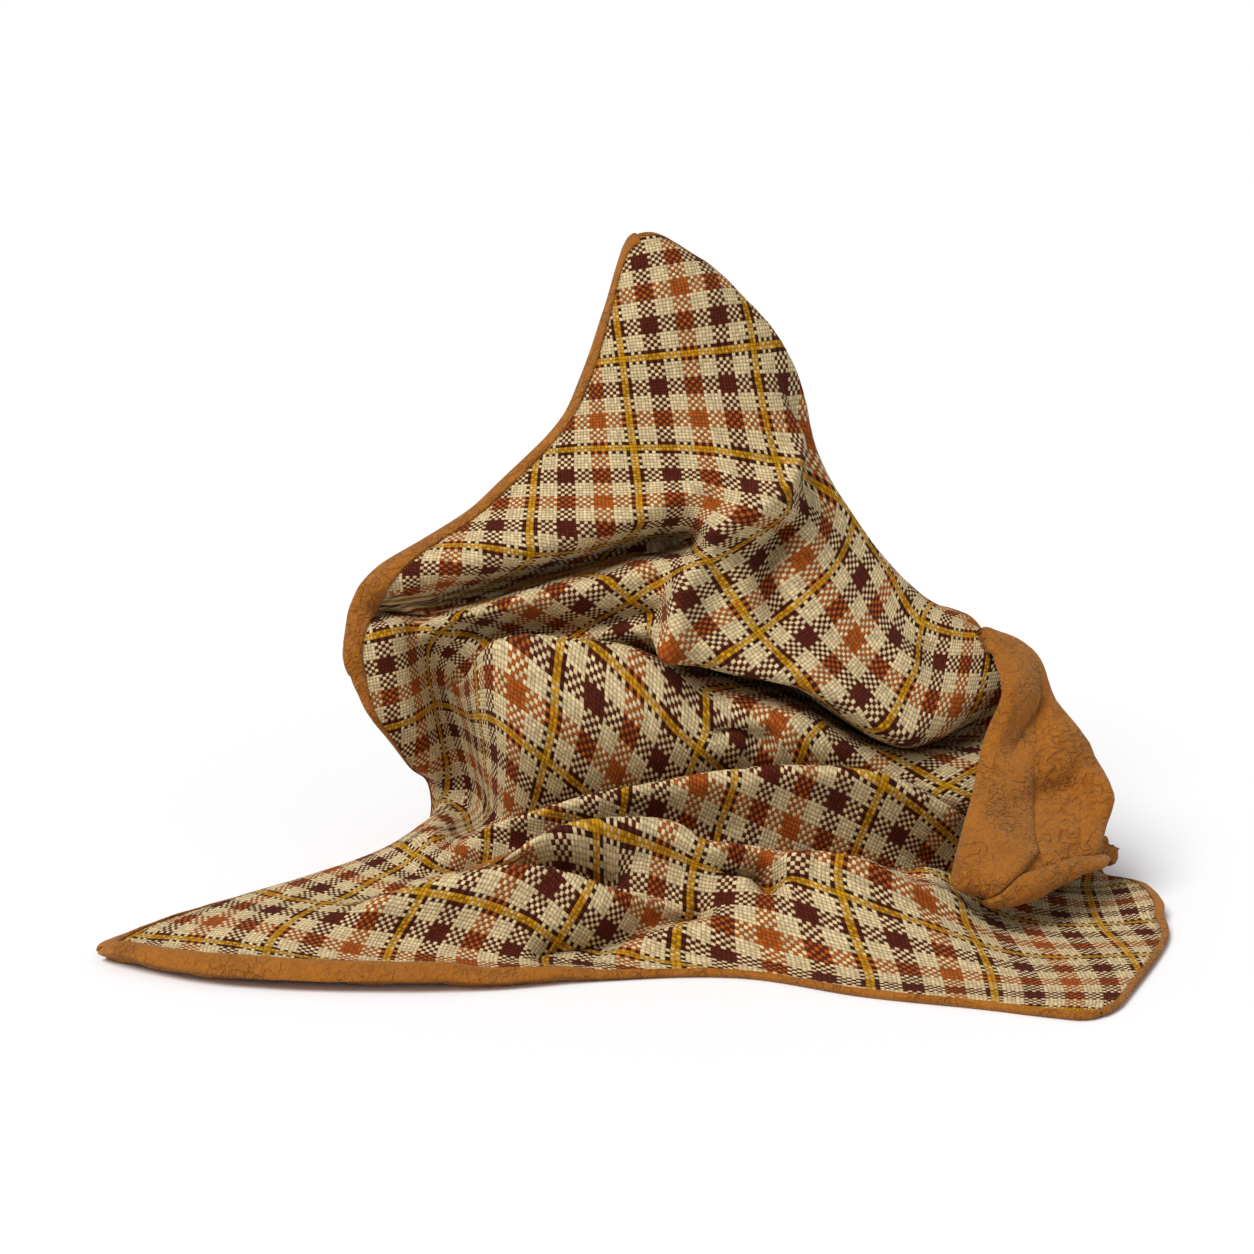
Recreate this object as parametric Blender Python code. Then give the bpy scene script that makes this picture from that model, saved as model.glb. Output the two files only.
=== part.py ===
"""Camp blanket slumped in a heap: one corner stands as a peak, the rest lies in folds on the ground.

Lengths are in metres, +Z is up and the ground is z = 0. The blanket is a rectangle with flat
coordinates (s, t): s runs from the peak corner along the left edge, t from the peak corner along
the back edge. Its shape in space is lofted through named crest and hollow lines, which fan out
from the peak. Each line starts on the left edge and ends on the back or the right edge.
"""

import bpy
import bmesh
import numpy as np
from mathutils import Vector

# Flat sizes of the whole blanket and of its border.
LENGTH = 1.52
WIDTH = 1.27
BAND_WIDTH = 0.045
EDGE_ROLL = 0.012

# Thickness of each layer, and the gap between any two pieces.
FACE_THICK = 0.0025
BACK_THICK = 0.0065
ROLL_THICK = 0.0115
GAP = 0.0004

# How many mesh rows lie between two crest lines, and how many columns run across the fan.
ROWS_PER_GAP = 2
COLUMNS = 26

# Points of the underside that come this near the ground are set flat on it.
GROUND_REACH = 0.0045

PEAK = (0.01, 0.215, 0.83)

# Where across the fan each point of a line stands: 0 is the left edge, 1 is the far end.
STATIONS = (0.0, 0.08, 0.17, 0.28, 0.40, 0.52, 0.64, 0.76, 0.87, 0.94, 1.0)

# Name, distance from the peak along the left edge, distance from the peak along the back and
# right edges, share of the line at which it turns over into the folded corner, eleven points.
LINES = (
    ("sail_top", 0.12, 0.14, 0.94,
     (-0.03, 0.18, 0.71), (-0.02, 0.172, 0.715), (-0.01, 0.165, 0.72), (0.01, 0.16, 0.73),
     (0.03, 0.155, 0.735), (0.05, 0.155, 0.74), (0.075, 0.16, 0.745), (0.10, 0.17, 0.75),
     (0.12, 0.185, 0.75), (0.135, 0.20, 0.745), (0.14, 0.215, 0.735)),
    ("sail_middle", 0.26, 0.29, 0.94,
     (-0.08, 0.165, 0.585), (-0.06, 0.15, 0.59), (-0.035, 0.14, 0.60), (0.0, 0.132, 0.615),
     (0.04, 0.128, 0.625), (0.08, 0.13, 0.635), (0.12, 0.138, 0.645), (0.16, 0.152, 0.65),
     (0.19, 0.172, 0.65), (0.21, 0.19, 0.645), (0.22, 0.215, 0.63)),
    ("sail_low", 0.40, 0.44, 0.94,
     (-0.188, 0.148, 0.472), (-0.155, 0.13, 0.482), (-0.115, 0.115, 0.495), (-0.05, 0.10, 0.51),
     (0.02, 0.092, 0.525), (0.09, 0.09, 0.54), (0.165, 0.098, 0.55), (0.225, 0.125, 0.55),
     (0.215, 0.165, 0.54), (0.24, 0.185, 0.535), (0.26, 0.21, 0.51)),
    ("sail_foot", 0.53, 0.58, 0.94,
     (-0.315, 0.105, 0.392), (-0.272, 0.088, 0.40), (-0.218, 0.075, 0.408), (-0.14, 0.065, 0.425),
     (-0.06, 0.06, 0.445), (0.02, 0.06, 0.47), (0.10, 0.065, 0.495), (0.20, 0.07, 0.485),
     (0.235, 0.135, 0.475), (0.28, 0.16, 0.465), (0.31, 0.20, 0.42)),
    ("recess", 0.61, 0.67, 0.94,
     (-0.345, 0.085, 0.35), (-0.302, 0.10, 0.35), (-0.247, 0.13, 0.345), (-0.165, 0.15, 0.36),
     (-0.06, 0.155, 0.385), (0.035, 0.15, 0.41), (0.115, 0.07, 0.44), (0.205, 0.06, 0.435),
     (0.275, 0.115, 0.43), (0.32, 0.15, 0.41), (0.35, 0.195, 0.37)),
    ("first_ridge", 0.69, 0.80, 0.94,
     (-0.353, 0.05, 0.31), (-0.307, 0.055, 0.33), (-0.257, 0.08, 0.33), (-0.185, 0.075, 0.35),
     (-0.085, 0.075, 0.385), (0.01, 0.08, 0.405), (0.095, 0.025, 0.40), (0.195, 0.02, 0.385),
     (0.30, 0.08, 0.385), (0.355, 0.13, 0.37), (0.40, 0.18, 0.33)),
    ("turn_start", 0.725, 0.88, 0.94,
     (-0.353, 0.04, 0.29), (-0.302, 0.05, 0.305), (-0.255, 0.095, 0.305), (-0.18, 0.07, 0.335),
     (-0.08, 0.062, 0.36), (0.01, 0.055, 0.375), (0.09, 0.0, 0.365), (0.197, -0.005, 0.345),
     (0.31, 0.035, 0.32), (0.39, 0.095, 0.335), (0.445, 0.135, 0.325)),
    ("lip", 0.76, 0.98, 0.93,
     (-0.346, 0.035, 0.27), (-0.295, 0.05, 0.285), (-0.25, 0.105, 0.285), (-0.17, 0.065, 0.315),
     (-0.07, 0.045, 0.335), (0.01, 0.03, 0.345), (0.09, -0.025, 0.325), (0.20, -0.03, 0.30),
     (0.345, -0.03, 0.225), (0.495, 0.10, 0.30), (0.475, 0.035, 0.275)),
    ("tuck", 0.79, 1.12, 0.905,
     (-0.335, 0.03, 0.245), (-0.288, 0.045, 0.25), (-0.24, 0.12, 0.24), (-0.17, 0.09, 0.25),
     (-0.065, 0.1, 0.26), (0.01, 0.11, 0.27), (0.1, 0.12, 0.265), (0.21, 0.12, 0.235),
     (0.345, 0.10, 0.165), (0.545, 0.06, 0.23), (0.442, -0.045, 0.187)),
    ("second_ridge", 0.83, 1.27, 0.865,
     (-0.318, 0.03, 0.21), (-0.277, 0.045, 0.215), (-0.225, 0.12, 0.20), (-0.165, 0.0, 0.325),
     (-0.065, -0.01, 0.335), (0.02, -0.015, 0.315), (0.10, -0.02, 0.275), (0.21, -0.03, 0.245),
     (0.325, -0.01, 0.185), (0.60, -0.01, 0.14), (0.415, -0.19, 0.05)),
    ("panel", 0.88, 1.47, 0.955,
     (-0.29, 0.05, 0.16), (-0.255, 0.065, 0.155), (-0.205, 0.11, 0.14), (-0.155, -0.03, 0.23),
     (-0.06, -0.06, 0.255), (0.03, -0.06, 0.25), (0.11, -0.055, 0.235), (0.215, -0.055, 0.22),
     (0.32, -0.035, 0.165), (0.57, -0.035, 0.09), (0.62, -0.03, 0.062)),
    ("hollow_behind_third", 0.95, 1.60, 0.94,
     (-0.26, 0.13, 0.1), (-0.235, 0.09, 0.1), (-0.19, 0.06, 0.08), (-0.145, 0.0, 0.085),
     (-0.055, 0.0, 0.06), (0.03, 0.0, 0.055), (0.11, 0.005, 0.055), (0.215, 0.01, 0.055),
     (0.33, 0.03, 0.05), (0.5, 0.05, 0.05), (0.635, 0.04, 0.036)),
    ("third_ridge", 1.02, 1.75, 0.94,
     (-0.265, 0.125, 0.03), (-0.25, 0.02, 0.09), (-0.225, -0.075, 0.085), (-0.155, -0.07, 0.11),
     (-0.055, -0.08, 0.15), (0.03, -0.085, 0.17), (0.11, -0.085, 0.185), (0.215, -0.08, 0.19),
     (0.325, -0.08, 0.175), (0.49, -0.02, 0.062), (0.64, 0.015, 0.012)),
    ("hollow_behind_fourth", 1.10, 1.90, 0.94,
     (-0.335, 0.055, 0.012), (-0.31, -0.04, 0.065), (-0.24, -0.115, 0.065), (-0.15, -0.105, 0.06),
     (-0.05, -0.1, 0.04), (0.03, -0.1, 0.035), (0.11, -0.1, 0.035), (0.205, -0.09, 0.04),
     (0.315, -0.08, 0.04), (0.48, -0.045, 0.02), (0.645, -0.015, 0.008)),
    ("fourth_ridge", 1.20, 2.05, 0.94,
     (-0.42, -0.005, 0.008), (-0.405, -0.08, 0.045), (-0.27, -0.15, 0.065), (-0.155, -0.155, 0.105),
     (-0.055, -0.16, 0.145), (0.03, -0.165, 0.15), (0.11, -0.16, 0.14), (0.205, -0.15, 0.13),
     (0.31, -0.15, 0.108), (0.48, -0.09, 0.03), (0.65, -0.04, 0.008)),
    ("fourth_foot", 1.27, 2.25, 0.94,
     (-0.48, -0.05, 0.008), (-0.465, -0.11, 0.035), (-0.3, -0.17, 0.055), (-0.165, -0.18, 0.085),
     (-0.06, -0.18, 0.07), (0.015, -0.18, 0.06), (0.11, -0.185, 0.065), (0.2, -0.195, 0.09),
     (0.315, -0.2, 0.07), (0.485, -0.13, 0.014), (0.655, -0.07, 0.008)),
    ("low_ridge", 1.35, 2.40, 0.94,
     (-0.54, -0.1, 0.008), (-0.525, -0.15, 0.025), (-0.34, -0.2, 0.055), (-0.18, -0.215, 0.095),
     (-0.07, -0.22, 0.095), (0.01, -0.22, 0.07), (0.115, -0.22, 0.055), (0.215, -0.24, 0.06),
     (0.345, -0.24, 0.045), (0.49, -0.2, 0.01), (0.657, -0.11, 0.008)),
    ("apron", 1.44, 2.60, 0.94,
     (-0.61, -0.175, 0.008), (-0.57, -0.21, 0.015), (-0.43, -0.25, 0.03), (-0.295, -0.26, 0.03),
     (-0.165, -0.265, 0.025), (-0.02, -0.26, 0.014), (0.125, -0.255, 0.016), (0.26, -0.295, 0.014),
     (0.385, -0.31, 0.01), (0.5, -0.32, 0.008), (0.655, -0.2, 0.008)),
    ("front_edge", 1.52, 2.79, 0.94,
     (-0.65, -0.23, 0.008), (-0.545, -0.29, 0.008), (-0.43, -0.32, 0.008), (-0.30, -0.33, 0.008),
     (-0.16, -0.325, 0.008), (-0.02, -0.30, 0.008), (0.13, -0.295, 0.008), (0.27, -0.35, 0.008),
     (0.40, -0.385, 0.008), (0.48, -0.41, 0.008), (0.55, -0.43, 0.008)),
)


def spline(knots, values, at):
    """Smooth curve through values at the knots, read at the places in at."""
    step = np.diff(knots)
    slope = np.diff(values, axis=0) / step[:, None]
    tangent = np.empty_like(values)
    tangent[0] = slope[0]
    tangent[-1] = slope[-1]
    share = (step[1:] / (step[1:] + step[:-1]))[:, None]
    tangent[1:-1] = share * slope[:-1] + (1 - share) * slope[1:]
    place = np.clip(np.searchsorted(knots, at, side="right") - 1, 0, len(step) - 1)
    h = step[place]
    x = ((at - knots[place]) / h)[:, None]
    h = h[:, None]
    return (
        (2 * x**3 - 3 * x**2 + 1) * values[place]
        + (x**3 - 2 * x**2 + x) * h * tangent[place]
        + (3 * x**2 - 2 * x**3) * values[place + 1]
        + (x**3 - x**2) * h * tangent[place + 1]
    )


CONTROL = np.array([[PEAK] * len(STATIONS)] + [line[4:] for line in LINES], float)
LEFT_AT = np.array([0.0] + [line[1] for line in LINES])
RIGHT_AT = np.array([0.0] + [line[2] for line in LINES])
KNOTS = np.concatenate([[0.0], np.cumsum(
    np.linalg.norm(np.diff(CONTROL, axis=0), axis=2).mean(axis=1))])
ACROSS_KNOTS = np.concatenate([[0.0], np.cumsum(
    np.linalg.norm(np.diff(CONTROL[1:], axis=1), axis=2).mean(axis=0))])
# The share of its line at which each point stands. Lines that turn over have their own shares.
SHARES = np.array([STATIONS] * len(CONTROL))
for index, line in enumerate(LINES):
    SHARES[index + 1, -2] = line[3]
    SHARES[index + 1, -3] = min(STATIONS[-3], line[3] - 0.085)
    SHARES[index + 1, -4] = min(STATIONS[-4], line[3] - 0.18)


def ends_of(w):
    """Flat positions of both ends of the fan line at w."""
    left = np.interp(w, KNOTS, LEFT_AT)
    far = np.interp(w, KNOTS, RIGHT_AT)
    zero = np.zeros_like(left)
    start = np.stack([left, zero], axis=-1)
    on_back = np.stack([zero, far], axis=-1)
    on_right = np.stack([far - WIDTH_DRAWN, zero + WIDTH_DRAWN], axis=-1)
    return start, np.where((far > WIDTH_DRAWN)[..., None], on_right, on_back)


# The lines above are drawn for this rectangle. A blanket of another size is read on it by share.
WIDTH_DRAWN = 1.27
LENGTH_DRAWN = 1.52


def locate(flat):
    """Fan line and share along it of each flat position."""
    low = np.full(len(flat), 1e-6)
    high = np.full(len(flat), KNOTS[-1])
    for _ in range(40):
        middle = (low + high) / 2
        start, end = ends_of(middle)
        along = end - start
        off = flat - start
        beyond = along[:, 0] * off[:, 1] - along[:, 1] * off[:, 0] < 0
        low = np.where(beyond, middle, low)
        high = np.where(beyond, high, middle)
    start, end = ends_of(high)
    share = np.linalg.norm(flat - start, axis=1) / np.linalg.norm(end - start, axis=1)
    return high, np.clip(share, 0, 1)


def surface(flat):
    """Points in space of flat positions on the middle surface."""
    flat = flat * (LENGTH_DRAWN / LENGTH, WIDTH_DRAWN / WIDTH)
    w, share = locate(flat)
    points = np.empty((len(flat), 3))
    for index in range(len(flat)):
        shares = [np.interp(w[index], KNOTS, SHARES[:, j]) for j in range(len(STATIONS))]
        across = np.interp(share[index], shares, ACROSS_KNOTS)
        ribs = spline(KNOTS, CONTROL.reshape(len(KNOTS), -1), w[index:index + 1])
        ribs = ribs.reshape(len(STATIONS), 3)
        points[index] = spline(ACROSS_KNOTS, ribs, np.array([across]))[0]
    scale = np.sqrt(LENGTH * WIDTH / (LENGTH_DRAWN * WIDTH_DRAWN))
    return points * scale


def rounded(flat):
    """Flat positions with the corner squares of the rectangle drawn in to quarter discs."""
    out = flat.copy()
    for corner in ((0, 0), (LENGTH, 0), (LENGTH, WIDTH), (0, WIDTH)):
        inward = np.array([1 if corner[0] == 0 else -1, 1 if corner[1] == 0 else -1])
        centre = np.array(corner) + inward * BAND_WIDTH
        out_by = (centre - flat) * inward
        inside = (out_by > 1e-9).all(axis=1)
        reach = out_by.max(axis=1) / np.maximum(np.hypot(*out_by.T), 1e-12)
        out[inside] = (centre - inward * out_by * reach[:, None])[inside]
    return out


def clipped_row(w):
    """Flat positions of one mesh row: the fan line at w, kept inside the border."""
    start, end = ends_of(np.array(w))
    first = BAND_WIDTH / end[1]
    last = min((WIDTH_DRAWN - BAND_WIDTH) / end[1], (start[0] - BAND_WIDTH) / (start[0] - end[0]))
    shares = np.array([np.interp(w, KNOTS, SHARES[:, j]) for j in range(len(STATIONS))])
    shares = np.interp(np.linspace(0, len(STATIONS) - 1, COLUMNS + 1), range(len(STATIONS)), shares)
    return start + (end - start) * (first + (last - first) * shares)[:, None]


def inner_grid():
    """Rows of flat positions that fill the blanket inside its border, without the peak corner."""
    low = BAND_WIDTH
    far_s = LENGTH_DRAWN - BAND_WIDTH
    far_t = WIDTH_DRAWN - BAND_WIDTH
    corners = np.array([(low, low), (far_s, low), (far_s, far_t), (low, far_t)])
    peak_at, left_at, front_at, turned_at = locate(corners)[0]
    fine = np.interp(np.arange(0, len(KNOTS) - 1, 1 / ROWS_PER_GAP), range(len(KNOTS)), KNOTS)
    fine = fine[(fine > peak_at + 0.03) & (fine < min(left_at, front_at) - 0.012)]
    fine[np.abs(fine - turned_at).argmin()] = turned_at
    rows = [clipped_row(w) for w in fine]
    shares = np.interp(np.linspace(0, len(STATIONS) - 1, COLUMNS + 1), range(len(STATIONS)), STATIONS)
    rows.append(corners[1] + (corners[2] - corners[1]) * shares[:, None])
    grid = np.array(rows) * (LENGTH / LENGTH_DRAWN, WIDTH / WIDTH_DRAWN)
    size = np.array((LENGTH, WIDTH))
    return np.clip(grid, BAND_WIDTH, size - BAND_WIDTH), int(np.abs(fine - turned_at).argmin())


def spread(x, total):
    """Place on the outer edge that faces x on the border's inner edge, spread out near a corner."""
    reach = 2.2 * BAND_WIDTH
    near_low = np.clip(1 - (x - BAND_WIDTH) / reach, 0, 1)
    near_high = np.clip(1 - (total - BAND_WIDTH - x) / reach, 0, 1)
    return x - BAND_WIDTH * near_low + BAND_WIDTH * near_high


GRID, TURNED_ROW = inner_grid()
ROWS = len(GRID)
ACROSS = COLUMNS + 1
PEAK_ID = ROWS * ACROSS
INNER = np.concatenate([GRID.reshape(-1, 2), [(BAND_WIDTH, BAND_WIDTH)]])

# Once round the border's inner edge: down the left edge, along the front, back up to the peak.
LOOP = [PEAK_ID]
LOOP += [row * ACROSS for row in range(ROWS)]
LOOP += [(ROWS - 1) * ACROSS + column for column in range(1, ACROSS)]
LOOP += [row * ACROSS + ACROSS - 1 for row in range(ROWS - 2, -1, -1)]
CORNER_PLACES = (0, ROWS, ROWS + ACROSS - 1, ROWS + ACROSS - 1 + ROWS - 1 - TURNED_ROW)


def outer_loop():
    """Flat positions on the outer edge that face those of LOOP."""
    inner = INNER[LOOP]
    outer = np.empty_like(inner)
    peak, left, front, turned = CORNER_PLACES
    for place, (s, t) in enumerate(inner):
        if place < left:
            outer[place] = (spread(s, LENGTH), 0)
        elif place < front:
            outer[place] = (LENGTH, spread(t, WIDTH))
        elif place < turned:
            outer[place] = (spread(s, LENGTH), WIDTH)
        else:
            outer[place] = (0, spread(t, WIDTH))
    outer[peak] = (0, 0)
    outer[left] = (LENGTH, 0)
    outer[front] = (LENGTH, WIDTH)
    outer[turned] = (0, WIDTH)
    return outer


OUTER = outer_loop()


def ring(distance):
    """Flat positions of the loop at a distance from the outer edge."""
    return OUTER + (INNER[LOOP] - OUTER) * (distance / BAND_WIDTH)


# Rings of the border, from its inner edge outward.
RING_AT = (0.028, EDGE_ROLL, 0.005, 0.0)
COUNT = len(LOOP)
FLAT = np.concatenate([INNER] + [ring(distance) for distance in RING_AT])
POINTS = surface(rounded(FLAT))
RINGS = [np.array(LOOP)]
RINGS += [np.arange(COUNT) + len(INNER) + COUNT * index for index in range(len(RING_AT))]


def inner_triangles():
    faces = [(PEAK_ID, column, column + 1) for column in range(COLUMNS)]
    for row in range(ROWS - 1):
        for column in range(COLUMNS):
            a = row * ACROSS + column
            faces += [(a, a + ACROSS, a + ACROSS + 1), (a, a + ACROSS + 1, a + 1)]
    return faces


def ring_triangles(inside, outside):
    faces = []
    for place in range(COUNT):
        after = (place + 1) % COUNT
        a, b = inside[place], inside[after]
        c, d = outside[after], outside[place]
        faces += [(a, d, c), (a, c, b)]
    return faces


INNER_FACES = inner_triangles()
RING_FACES = [ring_triangles(RINGS[k], RINGS[k + 1]) for k in range(len(RING_AT))]


def vertex_normals():
    faces = np.array(INNER_FACES + sum(RING_FACES, []))
    a, b, c = (POINTS[faces[:, k]] for k in range(3))
    cross = np.cross(b - a, c - a)
    normals = np.zeros_like(POINTS)
    for k in range(3):
        np.add.at(normals, faces[:, k], cross)
    return normals / np.linalg.norm(normals, axis=1)[:, None]


NORMALS = vertex_normals()


def material(name, colour, roughness):
    made = bpy.data.materials.new(name)
    made.use_nodes = True
    shader = made.node_tree.nodes["Principled BSDF"]
    shader.inputs["Base Color"].default_value = (*colour, 1)
    shader.inputs["Roughness"].default_value = roughness
    shader.inputs["Sheen Weight"].default_value = 0.4
    made.diffuse_color = (*colour, 1)
    return made


def add_piece(name, points, faces, colour):
    """One closed mesh object. Points of the underside near the ground are set on the ground."""
    points = points.copy()
    points[points[:, 2] < GROUND_REACH, 2] = 0
    mesh = bpy.data.meshes.new(name)
    mesh.from_pydata([tuple(point) for point in points], [], [tuple(face) for face in faces])
    mesh.validate()
    work = bmesh.new()
    work.from_mesh(mesh)
    bmesh.ops.delete(work, geom=[v for v in work.verts if not v.link_faces], context="VERTS")
    bmesh.ops.recalc_face_normals(work, faces=work.faces)
    if work.calc_volume(signed=True) < 0:
        bmesh.ops.reverse_faces(work, faces=work.faces)
    for face in work.faces:
        face.smooth = True
    work.to_mesh(mesh)
    work.free()
    mesh.materials.append(material(name, colour, 0.9))
    piece = bpy.data.objects.new(name, mesh)
    bpy.context.scene.collection.objects.link(piece)
    return piece


def sheet(name, faces, rim, moved, top, bottom, colour):
    """A layer between two offsets of the middle surface. The rim points stand at moved."""
    count = len(POINTS)
    middle = POINTS.copy()
    middle[rim] = moved
    points = np.concatenate([middle + NORMALS * top, middle + NORMALS * bottom])
    solid = [tuple(face) for face in faces]
    solid += [(c + count, b + count, a + count) for a, b, c in faces]
    for place in range(COUNT):
        a, b = rim[place], rim[(place + 1) % COUNT]
        solid += [(b, a, a + count), (b, a + count, b + count)]
    return add_piece(name, points, solid, colour)


def add_face():
    moved = surface(rounded(ring(EDGE_ROLL + GAP)))
    faces = INNER_FACES + RING_FACES[0] + RING_FACES[1]
    return sheet("plaid_face", faces, RINGS[2], moved, GAP / 2 + FACE_THICK, GAP / 2, (0.45, 0.16, 0.05))


def add_backing():
    moved = surface(rounded(ring(BAND_WIDTH + GAP)))
    lower = -GAP / 2 - BACK_THICK
    return sheet("fleece_backing", INNER_FACES, RINGS[0], moved, -GAP / 2, lower, (0.55, 0.26, 0.06))


# Section of a border strip: ring and height on the surface's normal. It runs from the inner edge
# under the woven face, up round the rolled edge, and back along the underside.
SECTION = (
    (0, -GAP / 2), (1, -GAP / 2), (2, -GAP / 2),
    (2, GAP / 2 + FACE_THICK), (3, 0.30 * ROLL_THICK), (4, 0.06 * ROLL_THICK),
    (4, -0.36 * ROLL_THICK), (3, -0.64 * ROLL_THICK), (2, -GAP / 2 - BACK_THICK),
    (1, -GAP / 2 - BACK_THICK), (0, -GAP / 2 - BACK_THICK),
)
CAP = ((0, 1, 9), (0, 9, 10), (1, 2, 8), (1, 8, 9), (2, 3, 8), (3, 4, 8), (4, 7, 8), (4, 5, 6), (4, 6, 7))


def add_binding(name, first, last, colour):
    """A border strip between two corners, mitred at both ends."""
    places = [place % COUNT for place in range(first, last + 1)]
    rows = [[POINTS[RINGS[k][place]] + NORMALS[RINGS[k][place]] * up for k, up in SECTION]
            for place in places]
    rows = np.array(rows)
    for end, beside in ((0, 1), (-1, -2)):
        along = rows[beside] - rows[end]
        rows[end] += along / np.linalg.norm(along, axis=1)[:, None] * GAP
    size = len(SECTION)
    faces = []
    for row in range(len(places) - 1):
        for k in range(size):
            a = row * size + k
            b = row * size + (k + 1) % size
            faces += [(a, b, b + size), (a, b + size, a + size)]
    base = (len(places) - 1) * size
    faces += [(c, b, a) for a, b, c in CAP]
    faces += [(a + base, b + base, c + base) for a, b, c in CAP]
    return add_piece(name, rows.reshape(-1, 3), faces, colour)


def clear_scene():
    for item in list(bpy.data.objects):
        bpy.data.objects.remove(item, do_unlink=True)


def centre_on_origin(pieces):
    """Moves the blanket so that the origin is under the middle of its bounding box, on the ground."""
    points = np.array([vertex.co for piece in pieces for vertex in piece.data.vertices])
    middle = (points.min(axis=0) + points.max(axis=0)) / 2
    for piece in pieces:
        for vertex in piece.data.vertices:
            vertex.co -= Vector((middle[0], middle[1], 0))


def main():
    clear_scene()
    peak, left, front, turned = CORNER_PLACES
    fleece = (0.58, 0.27, 0.06)
    centre_on_origin([
        add_face(),
        add_backing(),
        add_binding("binding_left", peak, left, fleece),
        add_binding("binding_front", left, front, fleece),
        add_binding("binding_right", front, turned, fleece),
        add_binding("binding_back", turned, COUNT, fleece),
    ])


main()
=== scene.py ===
"""Camp blanket slumped in a heap, with one corner standing as a peak.

The sheet is lofted through crest and hollow lines that fan out from the peak. Flat coordinates
(s, t) are metres from the peak corner along the left edge and along the back edge.
"""

import bpy
import numpy as np
from bpy.props import FloatProperty, FloatVectorProperty, IntProperty, PointerProperty
from bpy.types import Operator, Panel, PropertyGroup
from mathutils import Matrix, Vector


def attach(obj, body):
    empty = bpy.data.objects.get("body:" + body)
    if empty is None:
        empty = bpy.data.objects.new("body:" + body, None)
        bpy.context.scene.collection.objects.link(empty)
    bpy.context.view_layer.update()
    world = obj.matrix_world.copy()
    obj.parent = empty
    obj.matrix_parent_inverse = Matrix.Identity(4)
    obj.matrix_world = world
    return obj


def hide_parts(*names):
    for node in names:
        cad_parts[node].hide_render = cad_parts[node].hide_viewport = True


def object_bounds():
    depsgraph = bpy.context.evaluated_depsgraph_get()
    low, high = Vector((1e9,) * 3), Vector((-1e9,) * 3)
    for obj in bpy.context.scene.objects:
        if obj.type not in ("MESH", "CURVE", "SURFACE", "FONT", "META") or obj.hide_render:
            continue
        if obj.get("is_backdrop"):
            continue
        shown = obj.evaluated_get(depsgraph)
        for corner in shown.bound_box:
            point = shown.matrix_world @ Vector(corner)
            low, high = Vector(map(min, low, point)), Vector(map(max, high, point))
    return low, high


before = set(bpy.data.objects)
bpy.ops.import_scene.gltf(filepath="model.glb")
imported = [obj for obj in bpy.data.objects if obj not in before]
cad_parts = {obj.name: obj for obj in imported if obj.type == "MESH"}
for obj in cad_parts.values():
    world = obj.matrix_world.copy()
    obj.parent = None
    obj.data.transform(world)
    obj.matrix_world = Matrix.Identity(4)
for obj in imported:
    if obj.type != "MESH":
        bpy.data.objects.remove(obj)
CAD_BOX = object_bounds()

bl_info = {
    "name": "Camp Blanket",
    "version": (1, 0, 0),
    "blender": (4, 5, 0),
    "location": "View3D > Sidebar > Blanket",
    "description": "Two-layer throw blanket in a heap: woven plaid face, fleece back and border",
    "category": "Object",
}

# Flat size of the blanket. The crest and hollow lines are drawn for it.
LENGTH = 1.52
WIDTH = 1.27
CORNERS = ((0.0, 0.0), (LENGTH, 0.0), (LENGTH, WIDTH), (0.0, WIDTH))
CORNER_RADIUS = 0.045
SIDES = ("left", "front", "right", "back")

# The seam at every edge, and how high the cloth's lowest points lie.
SEAM = 0.0038
LOWEST = 0.0002
# Rows and columns of the sheet: for the weave's run, and for reading the surface.
COARSE_GRID = (160, 140)
FINE_GRID = (330, 300)

# The lines are drawn from this point of the ground, and the frame's origin lies under the middle
# of the heap.
DRAWN_FROM = np.array((-0.0167, 0.1020, 0.0))

# The peak, the points of the lines and all sizes of the folds are in millimetres.
PEAK = (10, 215, 830)

# Where across the fan each point of a line stands: 0 is the left edge, 1 is the far end.
STATIONS = (0.0, 0.08, 0.17, 0.28, 0.40, 0.52, 0.64, 0.76, 0.87, 0.94, 1.0)

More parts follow.
